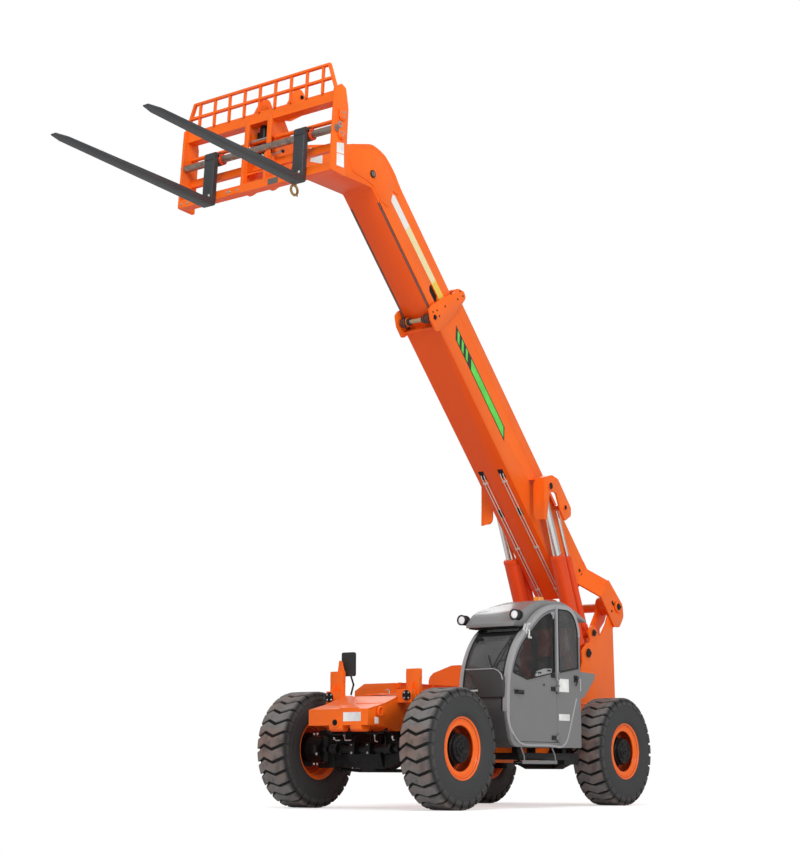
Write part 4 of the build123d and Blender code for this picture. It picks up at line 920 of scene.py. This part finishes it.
def collar():
    """Black rollers with their tan spacer, the ears' bolts and the pad bolts on the collar."""
    a, p, w = BASE_FRONT, -0.56, BASE_HALF_W
    Piece("collar_rollers", PLASTIC, "boom_base").both(
        lathe([(0.0, 0.0), (0.036, 0.0), (0.04, 0.004), (0.06, 0.006), (0.0605, 0.014), (0.0605, 0.036),
               (0.0565, 0.04), (0.0605, 0.044), (0.0605, 0.066), (0.0565, 0.07), (0.0605, 0.074),
               (0.058, 0.09), (0.046, 0.102), (0.0, 0.102)], (a, 0.129, p), Y, 40),
        lathe([(0.0, 0.0), (0.035, 0.0), (0.0355, 0.018), (0.03, 0.02), (0.0, 0.02)], (a, 0.112, p)),
        lathe([(0.03, 0), (0.044, 0.002), (0.047, 0.01), (0.047, 0.036), (0.03, 0.038)], (a, 0.092, p),
              closed=True))
    spots = ((-0.045, 0.105), (0.035, 0.11), (0.065, 0.022), (-0.02, 0.3), (0.03, 0.52), (-0.1, 0.6),
             (-0.05, 0.72), (-0.13, 0.73))
    Piece("collar_bolts", BLACK, "boom_base").both(
        disc((a, w + 0.028, p), Y, 0.032, 0.01, 28), bolt((a, w + 0.036, p), Y, 0.016),
        bolts(Y, 0.009, *((a + da, w + 0.0215, p + dp) for da, dp in spots)))
    Piece("roller_spacer", SPACER, "boom_base").add(sleeve((a, 0, p), Y, 0.0235, 0.0265, -0.113, 0.113))


def underside():
    """Pairs of steel pipes under the base section, from their slots back to the tower, with clamps."""
    low, start = BASE_BOTTOM, 2.64              # start: where the pipes leave their slots
    pipes = Piece("boom_pipes", PIPE, "boom_base")
    clamps = Piece("pipe_clamps", PIPE, "boom_base", 0.001)
    # painted shade: the pipes' slots are near-black blocks
    slots = Piece("pipe_slots", PAINTED_SHADE, "boom_base", 0.001)
    for y in (-0.152, 0.146):
        slots.add(block(start - 0.01, start + 0.125, y - 0.04, y + 0.04, low - 0.0015, low + 0.004),
                  block(start - 0.62, start - 0.5, y - 0.03, y + 0.034, low - 0.0015, low + 0.004))
        for dy in (-0.022, 0.022):
            route = ((start + 0.075, 0.012), (start + 0.045, -0.006), (start + 0.015, -0.011), (1.4, -0.011),
                     (0.56, -0.011))
            pipes.add(tube([(a, y + dy, low + p) for a, p in route], 0.0068, 8))
        for a in (start - 0.06, 1.5, 0.8):
            clamps.add(block(a - 0.014, a + 0.014, y - 0.034, y + 0.034, low - 0.02, low - 0.002),
                       bolt((a, y, low - 0.0195), DOWN, 0.007))


def generic_flash():
    """Plain two-tone flash along the base section: a long wedge with a dark edge and three short bars."""
    w = BASE_HALF_W + FILM
    Piece("side_flash_dark", FLASH_DARK, "boom_base", 0.0004).both(
        plate([(3.05, -0.335), (4.62, -0.335), (4.75, -0.195), (3.18, -0.195)], w - 0.002, w))
    light = Piece("side_flash_light", FLASH, "boom_base", 0.0004)
    for a, length in ((3.1, 1.05), (4.26, 0.06), (4.39, 0.06), (4.52, 0.06)):
        light.both(plate([(a, -0.318), (a + length, -0.318), (a + length + 0.1, -0.212), (a + 0.1, -0.212)],
                         w - 0.001, w + 0.001))


def boom_tail():
    """Slots of the tail plates as near-black painted shade, pins and bosses of the tail plates, and the heads
    of the cylinders' pins.
    """
    slot_y, inner_y = (0.52, 0.5262), (BASE_HALF_W + 0.004, BASE_HALF_W + 0.0072)
    # painted shade: the slots and a hole are near-black blocks and a disc
    Piece("tail_slots", PAINTED_SHADE, "boom_base", 0.001).both(
        block(0.07, 0.145, *slot_y, -0.075, -0.035), disc((0.05, 0.5202, -0.155), Y, 0.02, 0.0065, 20),
        block(0.6, 0.645, *inner_y, -0.08, -0.04), block(0.68, 0.725, *inner_y, -0.08, -0.04))
    # flush caps: the brackets pass close beside the cab's roof when the boom is down
    caps = Piece("bracket_pins", BLACK, "boom_base", 0.001)
    heads = Piece("tower_pins", BLACK, edge=0.001)
    x, z = BOOM_PIVOT
    heads.both(disc((x, 0.546, z), Y, 0.048, 0.009),
               block(x - 0.055, x + 0.012, 0.552, 0.56, z - 0.014, z + 0.014))
    for label, cap_r, r in (("lift", 0.045, 0.06), ("level", 0.031, 0.046)):
        (x, z), (a, p) = CYLINDERS[label][:2]
        caps.both(disc((a, 0.5145, p), Y, cap_r, 0.0028, 28))
        heads.both(disc((x, 0.508, z), Y, r, 0.01, 28),
                   block(x - r, x + r, 0.516, 0.524, z - 0.012, z + 0.012),
                   bolt((x + r * 0.7, 0.523, z), Y, 0.009))


def cylinder_glands():
    """Gland rings at the barrels' mouths."""
    for label, (base, (a, p), length, r, rod_r) in CYLINDERS.items():
        ahead = BOOM @ Vector((a, 0, p)) - at(base[0], 0, base[1])
        angle = atan2(ahead.z, ahead.x)
        for side, y in (("left", CYLINDER_Y), ("right", -CYLINDER_Y)):
            Piece(f"{label}_gland_{side}", SHADED_ORANGE, f"{label}_barrel_{side}",
                  place=turned_place(*base, angle, y)).add(
                lathe([(rod_r + 0.002, 0.0), (rod_r + 0.002, 0.012), (rod_r + 0.01, 0.016),
                       (r - 0.016, 0.016), (r - 0.004, 0.006), (r + 0.004, 0.0), (r + 0.004, -0.045),
                       (r - 0.001, -0.052), (r - 0.004, -0.03)], (length, 0, 0), X, 40, closed=True))


fly_sides()
collar()
underside()
generic_flash()
boom_tail()
cylinder_glands()


# ---------------------------------------------------------------- carriage and forks
def carriage_fittings():
    """Latches and blank plates on the end plates, the tilt gear between the uprights, rail plates."""
    y = CARRIAGE_HALF_W
    latch = Piece("carriage_latches", ORANGE, "carriage", 0.002)
    Piece("blank_plates_carriage", SIGN, "carriage", 0.0005).both(
        plate([(0.532, -0.238), (0.412, -0.203), (0.404, -0.33), (0.526, -0.35)], y - SUNK, y + 0.0015),
        plate([(0.525, -0.358), (0.404, -0.338), (0.392, -0.484), (0.518, -0.496)], y - SUNK, y + 0.0015))
    collars = Piece("fork_collars", SHADED_ORANGE, "carriage")
    bright = Piece("carriage_bright_parts", ZINC, "carriage")
    black = Piece("tilt_gear", BLACK, "carriage", 0.001)
    for low, high in ((0.045, 0.165), (-0.175, -0.07)):
        handle = ((0.512, high - 0.012), (0.52, low + 0.03), (0.5, low), (0.44, low + 0.004))
        latch.both(block(0.418, 0.5, y - 0.004, y + 0.01, low + 0.02, high))
        latch.add(*(tube([(u, s * (y + 0.012), w) for u, w in handle], 0.009, 8) for s in (1, -1)))
        bright.both(bolts(Y, 0.009, (0.44, y + 0.01, high - 0.025), (0.48, y + 0.01, high - 0.03),
                          (0.445, y + 0.01, low + 0.045)))
    latch.both(disc((SHAFT[0], y - SUNK, SHAFT[1]), Y, 0.044, 0.008))
    bright.both(sleeve((0.5, y, -0.017), Y, 0.02, 0.036, 0, 0.012, 28))
    # stop collars beside the forks' eyes, with their locking pins
    for fork_y in FORK_Y:
        for s in (1, -1):
            collars.add(lathe([(0.0425, 0), (0.064, 0), (0.066, 0.004), (0.066, 0.022), (0.0625, 0.026),
                               (0.0425, 0.026)], (SHAFT[0], fork_y + s * 0.068, SHAFT[1]), (0, s, 0),
                              closed=True))
            black.add(bolt((0.62, fork_y + s * 0.081, -0.06), X, 0.01))
    # bars across, and the tilt cylinder's foot with its valve
    bright.add(tube([(0.524, -0.146, 0.054), (0.524, 0.146, 0.054)], 0.012),
               tube([(0.511, 0.188, -0.157), (0.511, 0.33, -0.157)], 0.011),
               tube([(0.511, 0.318, -0.157), (0.511, 0.322, -0.12)], 0.008, 10),
               tube([(0.4, -0.135, -0.06), (0.4, 0.135, -0.06)], 0.016),
               rod((0.425, -0.03, -0.12), Z, 0.024, 0.3))
    black.add(lathe([(0, 0), (0.046, 0), (0.05, 0.006), (0.05, 0.22), (0.04, 0.235), (0.028, 0.24),
                     (0.028, 0.26), (0, 0.26)], (0.425, -0.03, 0.05), Z),
              disc((0.4, -0.078, -0.06), Y, 0.052, 0.094, 28),
              disc((0.511, 0.335, -0.157), Y, 0.018, 0.02, 20),
              block(0.36, 0.44, 0.04, 0.11, -0.13, 0.1), block(0.375, 0.43, -0.13, -0.09, -0.05, 0.2))
    black.both(bolt((0.16, 0.271, 0.645), Y, 0.02), disc((0.0, 0.2545, 0.0), Y, 0.046, 0.006, 28),
               bolt((0.0, 0.259, 0.0), Y, 0.016))
    # rubbing plate and lock plate on the bottom rail, with their bolts
    Piece("rail_wear_plate", STRIP, "carriage", 0.001).add(block(0.604, 0.61, 0.232, 0.378, -0.568, -0.5))
    Piece("rail_plate", ORANGE, "carriage", 0.001).add(block(0.604, 0.61, -0.395, -0.196, -0.568, -0.492))
    Piece("rail_bolts", ZINC, "carriage").add(
        bolts(X, 0.01, *((0.609, bolt_y, -0.53) for bolt_y in (-0.375, -0.34, -0.216, -1.085, -0.985))))


def fork_tops():
    """Rounded hook over the shaft and heel bolt on each fork, and the latch of the lifting hook."""
    over = Piece("fork_hooks", FORK, "carriage", 0.003)
    heels = Piece("fork_bolts", PIPE, "carriage")
    (u, w), r = SHAFT, 0.076
    for y in FORK_Y:
        angles = [radians(200 - 12 * k) for k in range(16)]
        over.add(strap([(u + r * cos(a), w + r * sin(a)) for a in angles], 0.016, y - 0.073, y + 0.073),
                 block(0.612, 0.69, y - 0.0755, y + 0.0755, -0.112, -0.04))
        heels.add(bolt((0.685, y + 0.03, -0.552), X, 0.011))
    y = 0.57
    Piece("hook_latch", BLACK, "carriage").add(
        tube([(0.49, y, -0.64), (0.478, y - 0.004, -0.69), (0.486, y, -0.735)], 0.005, 8),
        tube([(0.54, y - 0.02, -0.6), (0.54, y + 0.02, -0.6)], 0.01, 10))


carriage_fittings()
fork_tops()


# ---------------------------------------------------------------- nose and front axle
def nose_fittings():
    """Blank plates, caps, post plates, deck hatch, mirror's stay and glass, and weld beads of the nose."""
    x = NOSE_X
    Piece("blank_plates_nose", SIGN, edge=0.0005).add(
        block(x - SUNK, x + 0.0015, 0.077, 0.327, 0.973, 1.073),
        block(4.112, 4.182, 0.4195, 0.4225, 0.948, 1.02))
    # caps of the lamp wings, and the lock pin through the nose's lobe with its clip
    Piece("nose_caps", BLACK).add(
        lathe([(0, 0), (0.032, 0), (0.034, 0.003), (0.034, 0.007), (0.028, 0.01), (0.022, 0.007),
               (0.02, 0.004), (0.014, 0.004), (0.012, 0.012),
               (0, 0.013)], (x + 0.013, -0.03, 0.961), X, 40)).both(
        disc((x - 0.539, 0.563, 1.27), X, 0.058, 0.01, 40),
        disc((x - 0.53, 0.563, 1.27), X, 0.02, 0.008, 24))
    Piece("post_plates", ORANGE, edge=0.001).both(
        plate([(x - 0.66, 1.285), (x - 0.655, 1.43), (x - 0.64, 1.43), (x - 0.56, 1.33),
               (x - 0.556, 1.285)],
              0.56, 0.572),
        block(x - 0.708, x - 0.663, 0.65, 0.656, 1.455, 1.545),
        block(x - 0.708, x - 0.663, 0.459, 0.465, 1.455, 1.545))
    # raised lid on the deck, its ring handle, hook and hinge pins
    corners = ((3.629, -0.15), (3.449, 0.242), (2.9, 0.3), (2.9, -0.24))
    Piece("deck_hatch", ORANGE, edge=0.003).add(
        Form([(px, py, z) for z in (1.291, 1.303) for px, py in corners],
             [(3, 2, 1, 0), (4, 5, 6, 7), (0, 1, 5, 4), (1, 2, 6, 5), (2, 3, 7, 6), (3, 0, 4, 7)]))
    # painted shade: a near-black disc for the finger hole
    Piece("hatch_finger_hole", PAINTED_SHADE).add(disc((3.44, -0.02, 1.3025), Z, 0.052, 0.0016))
    Piece("hatch_ring", SIGN).add(lathe([(0.06, 0), (0.068, 0.004), (0.076, 0), (0.068, -0.004)],
                                        (3.44, -0.02, 1.304), Z, 40, closed=True))
    catch = [(3.5, 0.105, 1.304), (3.5, 0.105, 1.335), (3.503, 0.09, 1.352), (3.505, 0.07, 1.352),
             (3.506, 0.058, 1.336)]
    Piece("nose_bright_parts", ZINC).add(
        tube(catch, 0.007, 10), bolts(Z, 0.01, (3.46, 0.16, 1.303), (3.3, -0.16, 1.303),
                                      (3.1, 0.24, 1.303))).both(
        bolts_round((x - 0.53, 0.563, 1.27), X, 0.041, 4, 0.0075, pi / 4),
        bolt((x - 0.685, 0.65, 1.5), Y, 0.009), bolt((x - 0.685, 0.465, 1.5), (0, -1, 0), 0.009))
    Piece("mirror_stay", BLACK).add(
        tube([(x - 0.735, -0.4, 1.3), (x - 0.752, -0.375, 1.42), (x - 0.752, -0.42, 1.535)], 0.011))
    (mx, my, mz), (_, far_y, top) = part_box("mirror")
    Piece("mirror_glass", MIRROR, edge=0.0015, place=SCENE_FRAME).add(
        block(mx - SUNK, mx + 0.003, my + 0.018, far_y - 0.018, mz + 0.03, top - 0.03))
    edge = ((x - 0.004, 0.93), (x - 0.004, 1.105), (x - 0.317, 1.176), (x - 0.612, 1.273))
    Piece("nose_welds", ORANGE).add(
        tube([(x - 0.317, -0.42, 1.179), (x - 0.317, 0.42, 1.179)], 0.004, 8),
        *(tube([(ex, s * 0.421, z) for ex, z in edge], 0.005, 8) for s in (1, -1)))


def front_axle_fittings():
    """Steering cylinder with its clamps and fittings, steel pipes, tie rod ends, boots and bolts."""
    x, z = 3.885, 0.675
    black = Piece("steering_fittings", BLACK, edge=0.001)
    bright = Piece("steering_bright_parts", ZINC)
    for y0, y1 in ((-0.131, -0.057), (0.105, 0.168)):
        black.add(block(x - 0.052, x + 0.062, y0, y1, z - 0.062, z + 0.062),
                  sleeve((x, y0 - 0.016, z), Y, 0.045, 0.056, 0, 0.012, 28))
        bright.add(bolt((x + 0.06, (y0 + y1) / 2, z - 0.045), X, 0.01),
                   bolt((x + 0.06, (y0 + y1) / 2, z + 0.045), X, 0.008))
    black.both(lathe([(0.021, 0), (0.05, 0), (0.054, 0.006), (0.054, 0.045), (0.047, 0.052), (0.047, 0.1),
                      (0.021, 0.1)], (x, 0.44, z), (0, -1, 0), closed=True),
               lathe([(0.0205, 0), (0.034, 0.004), (0.038, 0.03), (0.034, 0.056), (0.0205, 0.06)],
                     (x, 0.545, z), (0, -1, 0), 28, closed=True))
    bright.both(bolt((x + 0.05, 0.62, z - 0.055), X, 0.012),
                bolts(X, 0.01, *((x + 0.012, y, z + dz) for y in (0.64, 0.69) for dz in (-0.17, 0.17))))
    for route in (((-0.226, 0.831), (-0.205, 0.77), (-0.116, 0.774)),
                  ((0.218, 0.827), (0.226, 0.762), (0.263, 0.75)),
                  ((-0.373, 0.792), (-0.345, 0.769), (-0.281, 0.775)),
                  ((0.47, 0.8), (0.478, 0.772), (0.5, 0.769))):
        (y, top), front = route[0], x + 0.03
        bright.add(tube([(front, *spot) for spot in route], 0.009, 10),
                   rod((front, y, top - 0.012), Z, 0.015, 0.026, 6))
    # bent steel pipes along the cylinder, and straight ones from its ports up to the frame
    for route in ([(-0.482, 0.897), (-0.407, 0.85), (-0.31, 0.838), (-0.223, 0.842), (-0.16, 0.872),
                   (-0.114, 0.914), (-0.041, 0.927)],
                  [(0.06, 0.925), (0.12, 0.87), (0.2, 0.845), (0.31, 0.85), (0.42, 0.89)]):
        black.add(tube([(x + 0.065, *p) for p in smooth_path(route, 4)], 0.013))
    for y, top in ((-0.35, 0.9), (0.35, 0.905), (-0.094, 0.905), (0.141, 0.905)):
        black.add(tube([(x, y, z + 0.04), (x, y, 0.8), (x - 0.03, y * 0.9, 0.86), (x - 0.05, y * 0.9, top)],
                       0.01, 10))
    # lower guard, the tie rod's ends behind the beam, and the differential's cover with its bolts
    black.add(tube([(3.5, -0.618, 0.451), (3.5, -0.318, 0.43), (3.5, 0.318, 0.43), (3.5, 0.618, 0.451)],
                   0.02, 14),
              lathe([(0, 0.03), (0.06, 0.028), (0.12, 0.012), (0.15, 0.004), (0.185, 0.002),
                     (0.19, -0.004), (0, -0.004)], (3.79, 0.03, 0.6), X, 48),
              bolts_round((3.79, 0.03, 0.6), X, 0.17, 12, 0.01)).both(disc((3.5, 0.618, 0.41), Z, 0.04,
                                                                               0.085, 28))


def knuckle_fittings():
    """Ring and bolts round each hub carrier, which turn with the steering knuckle."""
    for label, (x, y, z) in WHEELS.items():
        s = 1 if y > 0 else -1
        Piece("knuckle_bolts_" + label, BLACK, "knuckle_" + label, place=SCENE_FRAME).add(
            lathe([(0.149, 0), (0.156, 0.003), (0.156, 0.02), (0.149, 0.023)], (x, y - s * 0.125, z),
                  (0, s, 0), 40, closed=True),
            bolts_round((x, y - s * 0.0605, z), (0, s, 0), 0.12, 10, 0.01))


nose_fittings()
front_axle_fittings()
knuckle_fittings()


# ---------------------------------------------------------------- boom head, tower, rear and hood
def head_cover():
    """Rolled plate over the boom's bend, a little proud of the folded one."""
    line = [(3.44, 7.408), (3.488, 7.466), (3.52, 7.519), (3.569, 7.585), (3.662, 7.676), (3.768, 7.758),
            (3.892, 7.804), (4.028, 7.826), (4.15, 7.799), (4.3, 7.755), (4.42, 7.722)]
    back = [(4.3, 7.6), (4.02, 7.7), (3.8, 7.64), (3.64, 7.5), (3.52, 7.38)]
    w = FLY_HALF_W + FILM
    Piece("boom_head_cover", ORANGE, "boom_fly", 0.001,
          MACHINE).add(plate(smooth_path(line, 5) + back, -w, w))


def tower_details():
    """Weld beads along the tower's foot and the pins' grease nipples."""
    Piece("tower_welds", ORANGE).both(tube([(-1.03, 0.4955, 1.292), (0.14, 0.4955, 1.292)], 0.009, 8))
    Piece("grease_nipples", BRASS).both(
        *(lathe([(0, 0), (0.007, 0), (0.007, 0.01), (0.004, 0.013), (0.004, 0.02), (0, 0.02)],
                (x, 0.482, z), Y, 12)
          for x, z in ((-0.335, 2.058), (-0.485, 2.312), (-1.09, 2.74))))


def rear_details():
    """Lamps on the counterweight's sloping back, and its side bolts."""
    slope = Vector((-0.922, 0, 0.388))
    cups = Piece("rear_lamp_cups", PLASTIC)
    for name, finish, y in (("rear_lamps", RED, 0.44), ("rear_turn_lamps", AMBER, 0.345)):
        hub = Vector((-1.229, y, 1.192))
        cups.both(lathe([(0.03, 0), (0.038, 0), (0.038, 0.014), (0.034, 0.018), (0.03, 0.018)], hub, slope,
                        closed=True))
        Piece(name, finish).both(
            lathe([(0, 0), (0.0305, 0), (0.0305, 0.012), (0.024, 0.019), (0.012, 0.022), (0, 0.023)], hub,
                  slope))
    Piece("counterweight_bolts", BLACK).both(bolts_round((-1.06, 0.56, 1.02), Y, 0.085, 6, 0.014))


def hood_details():
    """Louvres, latches and radiator bars of the engine hood, and the short tail pipe of its air box."""
    slats = Piece("hood_louvres", ORANGE, edge=0.001)
    # painted shade: a near-black sheet behind the slats
    louvre_shades = Piece("hood_louvre_gaps", PAINTED_SHADE, edge=0.0005)
    for x0 in (1.16, 1.86):
        x1 = x0 + 0.54
        louvre_shades.add(block(x0, x1, -1.1512, -1.148, 0.86, 1.2))
        a, b = x0 + 0.01, x1 - 0.01
        for z in (0.875 + k * 0.036 for k in range(9)):
            slats.add(Form([(a, -1.15, z), (b, -1.15, z), (b, -1.162, z + 0.006), (a, -1.162, z + 0.006),
                            (a, -1.15, z + 0.026), (b, -1.15, z + 0.026)],
                           [(0, 1, 2, 3), (3, 2, 5, 4), (0, 3, 4), (1, 5, 2), (0, 4, 5, 1)]))
        slats.add(*(block(a, b, -1.158, -1.149, low, high) for a, b, low, high in (
            (x0 - 0.012, x1 + 0.012, 1.196, 1.212), (x0 - 0.012, x1 + 0.012, 0.85, 0.864),
            (x0 - 0.012, x0 + 0.002, 0.85, 1.212), (x1 - 0.002, x1 + 0.012, 0.85, 1.212))))
    latches = Piece("hood_latches", PLASTIC, "engine_hood_lid", 0.001)
    for x in (1.38, 2.18):
        latches.add(block(x - 0.045, x + 0.045, -1.16, -1.15, 1.312, 1.372),
                    tube([(x - 0.03, -1.158, 1.325), (x - 0.03, -1.176, 1.335), (x + 0.03, -1.176, 1.335),
                          (x + 0.03, -1.158, 1.325)], 0.006, 8))
    Piece("radiator_bars", BLACK, edge=0.001).add(
        *(block(2.56, 2.566, y, y + 0.02, 0.86, 1.22) for y in (-1.08 + k * 0.044 for k in range(10))))
    Piece("tail_pipe", BLACK).add(
        tube([(0.64, -1.14, 1.4), (0.64, -1.185, 1.4), (0.625, -1.202, 1.4), (0.59, -1.208, 1.4)],
             0.034, 24), disc((0.64, -1.146, 1.4), (0, -1, 0), 0.055, 0.014))


def boom_seams():
    """Long weld beads where the base section's plates meet."""
    y = BASE_HALF_W - 0.001
    Piece("boom_seams", ORANGE, "boom_base").add(
        *(tube([(0.3, s * y, p), (4.96, s * y, p)], 0.0045, 6)
          for s in (1, -1) for p in (BASE_BOTTOM + 0.02, -0.03)))


head_cover()
tower_details()
rear_details()
hood_details()
boom_seams()
build_waiting()


# ---------------------------------------------------------------- driver's seat
PRESSURE_FRAMES = 20
MOST_SWELL = 0.008               # how far the cloth may blow out
VOXEL = 0.006


def blown_up(obj):
    """Places of the points after the cloth pressure has settled."""
    cover = obj.modifiers.new("pressure", "CLOTH")
    cover.settings.use_pressure = True
    cover.settings.uniform_pressure_force = 4.0
    cover.settings.effector_weights.gravity = 0.0
    cover.point_cache.frame_start, cover.point_cache.frame_end = 1, PRESSURE_FRAMES
    for k in range(1, PRESSURE_FRAMES + 1):
        SCENE.frame_set(k)
    view = bpy.context.evaluated_depsgraph_get()
    end = [v.co.copy() for v in obj.evaluated_get(view).data.vertices]
    obj.modifiers.clear()
    SCENE.frame_set(1)
    return end


def cushion(name, size, place, channels):
    """Pad blown up by cloth pressure, then sewn: channels are lines where the cover is pulled in."""
    length, width, thick = (s - 2 * MOST_SWELL for s in size)
    work = bmesh.new()
    bmesh.ops.create_cube(work, size=1.0)
    for v in work.verts:
        v.co = Vector((v.co.x * length, v.co.y * width, v.co.z * thick))
    bmesh.ops.bevel(work, geom=work.edges[:] + work.verts[:], offset=thick * 0.32, segments=4, profile=0.6,
                    affect="EDGES")
    mesh = D.meshes.new(name)
    work.to_mesh(mesh)
    work.free()
    obj = add_object(name, mesh)
    remesh = obj.modifiers.new("even_faces", "REMESH")
    remesh.mode, remesh.voxel_size = "VOXEL", VOXEL
    even = D.meshes.new_from_object(obj.evaluated_get(bpy.context.evaluated_depsgraph_get()))
    obj.modifiers.clear()
    obj.data = even
    start = [v.co.copy() for v in even.vertices]
    end = blown_up(obj)
    for v, a, b in zip(even.vertices, start, end):
        move = b - a
        if move.length > MOST_SWELL:
            move *= MOST_SWELL / move.length
        p = a + move
        # the top crowns towards the middle and the seams pull it in
        crown = (1 - (2 * p.x / size[0]) ** 2) * (1 - (2 * p.y / size[1]) ** 2)
        if p.z > 0:
            p.z += 0.01 * max(0.0, crown)
            for line in channels:
                p.z -= 0.007 * max(0.0, 1 - abs(p.x - line) / 0.012)
        else:
            p.z = max(p.z, -size[2] / 2)
        v.co = p
    even.materials.clear()
    even.materials.append(COVER)
    even.shade_smooth()
    smooth = obj.modifiers.new("smooth_cover", "SUBSURF")
    smooth.levels = smooth.render_levels = 1
    obj.matrix_world = place
    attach(obj, "chassis")
    return obj


def seat():
    """Cushion, backrest and side bolsters on a sprung base, in the room of the plain solid."""
    y, fill = 0.875, 0.7
    parts = [cushion("seat_cushion", (0.44, 0.4, 0.11), turned_place(1.42, 1.262, radians(2), y),
                     (-0.11, 0.0, 0.11)),
             cushion("seat_back", (0.52, 0.4, 0.09), turned_place(1.196, 1.56, radians(-89), y),
                     (-0.12, 0.0, 0.12))]
    base = Piece("seat_base", PLASTIC, edge=0.004).add(
        block(1.24, 1.55, 0.73, 1.02, 1.01, 1.03), block(1.26, 1.53, 0.75, 1.0, 1.03, 1.15),
        block(1.23, 1.62, 0.7, 1.05, 1.15, 1.185))
    base.add(*(block(1.25 + k * 0.001, 1.54 - k * 0.001, 0.742, 1.008, 1.045 + k * 0.018, 1.053 + k * 0.018)
               for k in range(5)))
    base.add(block(1.18, 1.56, y + 0.196, y + 0.21, 1.175, 1.235),
             block(1.18, 1.56, y - 0.21, y - 0.196, 1.175, 1.235))
    shell = Piece("seat_back_shell", PLASTIC, edge=0.008).add(block(1.14, 1.156, 0.69, 1.06, 1.28, 1.83))
    for obj in parts + [base.build(), shell.build()]:
        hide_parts("cab_seat")


seat()


# ---------------------------------------------------------------- studio and camera
FILL_LIGHT = 0.5
FLOOR_GLOW = 0.52
FLOOR_FADE = (6.0, 11.0)         # where the floor turns into the world's white, from the middle
FLOOR_HALF = 60


def link(tree, *pairs):
    for start, end in pairs:
        tree.links.new(start, end)


def studio_floor():
    """White floor that keeps only its shadows when it is seen directly."""
    finish = Finish("studio_floor")
    finish.finish(Base_Color=(0.8, 0.8, 0.8), Roughness=0.85 + finish.noise(3.0) * 0.05)
    mesh = D.meshes.new("floor")
    h = FLOOR_HALF
    mesh.from_pydata([(-h, -h, 0), (h, -h, 0), (h, h, 0), (-h, h, 0)], [], [(0, 1, 2, 3)])
    mesh.materials.append(finish.material)
    add_object("studio_floor", mesh)
    tree = finish.tree
    principled = tree.nodes["Principled BSDF"]
    glow, white, path, both, near, shown = (tree.nodes.new("ShaderNode" + kind) for kind in (
        "Emission", "Emission", "LightPath", "AddShader", "MixShader", "MixShader"))
    glow.inputs["Strength"].default_value = FLOOR_GLOW
    far = finish.node("ShaderNodeVectorMath", dict(operation="LENGTH"), finish.place(), pick=1)
    link(tree, (far.between(*FLOOR_FADE).socket, near.inputs["Fac"]), (principled.outputs[0], both.inputs[0]),
         (glow.outputs[0], both.inputs[1]), (both.outputs[0], near.inputs[1]),
         (white.outputs[0], near.inputs[2]), (path.outputs["Is Camera Ray"], shown.inputs["Fac"]),
         (principled.outputs[0], shown.inputs[1]), (near.outputs[0], shown.inputs[2]),
         (shown.outputs[0], finish.end.inputs["Surface"]))


def studio_world():
    """White behind the machine, and a softer white light from all round."""
    world = D.worlds.new("studio_world")
    world.use_nodes = True
    tree = world.node_tree
    fill = tree.nodes["Background"]
    seen, path, mix = (tree.nodes.new("ShaderNode" + kind) for kind in ("Background", "LightPath",
                                                                        "MixShader"))
    for shade in (fill, seen):
        shade.inputs["Color"].default_value = (1, 1, 1, 1)
    fill.inputs["Strength"].default_value = FILL_LIGHT
    link(tree, (path.outputs["Is Camera Ray"], mix.inputs["Fac"]), (fill.outputs[0], mix.inputs[1]),
         (seen.outputs[0], mix.inputs[2]), (mix.outputs[0], tree.nodes["World Output"].inputs["Surface"]))
    SCENE.world = world


def studio_lamps():
    aim = Vector((0, 0, 3))
    for name, place, size, power in (("key", (15.0, 9.0, 17.0), 9.0, 2100.0),
                                     ("side", (2.0, 21.0, 8.0), 9.0, 1100.0),
                                     ("back", (-14.0, -10.0, 14.0), 8.0, 500.0)):
        lamp = D.lights.new(name, "AREA")
        lamp.size, lamp.energy = size, power
        obj = add_object(name, lamp)
        obj.location = place
        obj.rotation_euler = (aim - Vector(place)).to_track_quat("-Z", "Y").to_euler()


def camera():
    """Low long lens from ahead and to the left."""
    eye = at(19.6781, 12.4144, 0.4588)
    yaw, pitch, roll = radians(216.931), radians(11.116), radians(0.118)
    ahead = Vector((cos(pitch) * cos(yaw), cos(pitch) * sin(yaw), sin(pitch)))
    right = ahead.cross(Vector(Z)).normalized()
    up = right.cross(ahead)
    right, up = cos(roll) * right + sin(roll) * up, cos(roll) * up - sin(roll) * right
    lens_data = D.cameras.new("camera")
    lens_data.lens, lens_data.sensor_width, lens_data.clip_end = 73.0118, 36.0, 200.0
    obj = add_object("camera", lens_data)
    obj.matrix_world = Matrix.Translation(eye) @ Matrix((right, up, -ahead)).transposed().to_4x4()
    SCENE.camera = obj


studio_floor()
studio_world()
studio_lamps()
camera()
SCENE.view_settings.view_transform = "Standard"
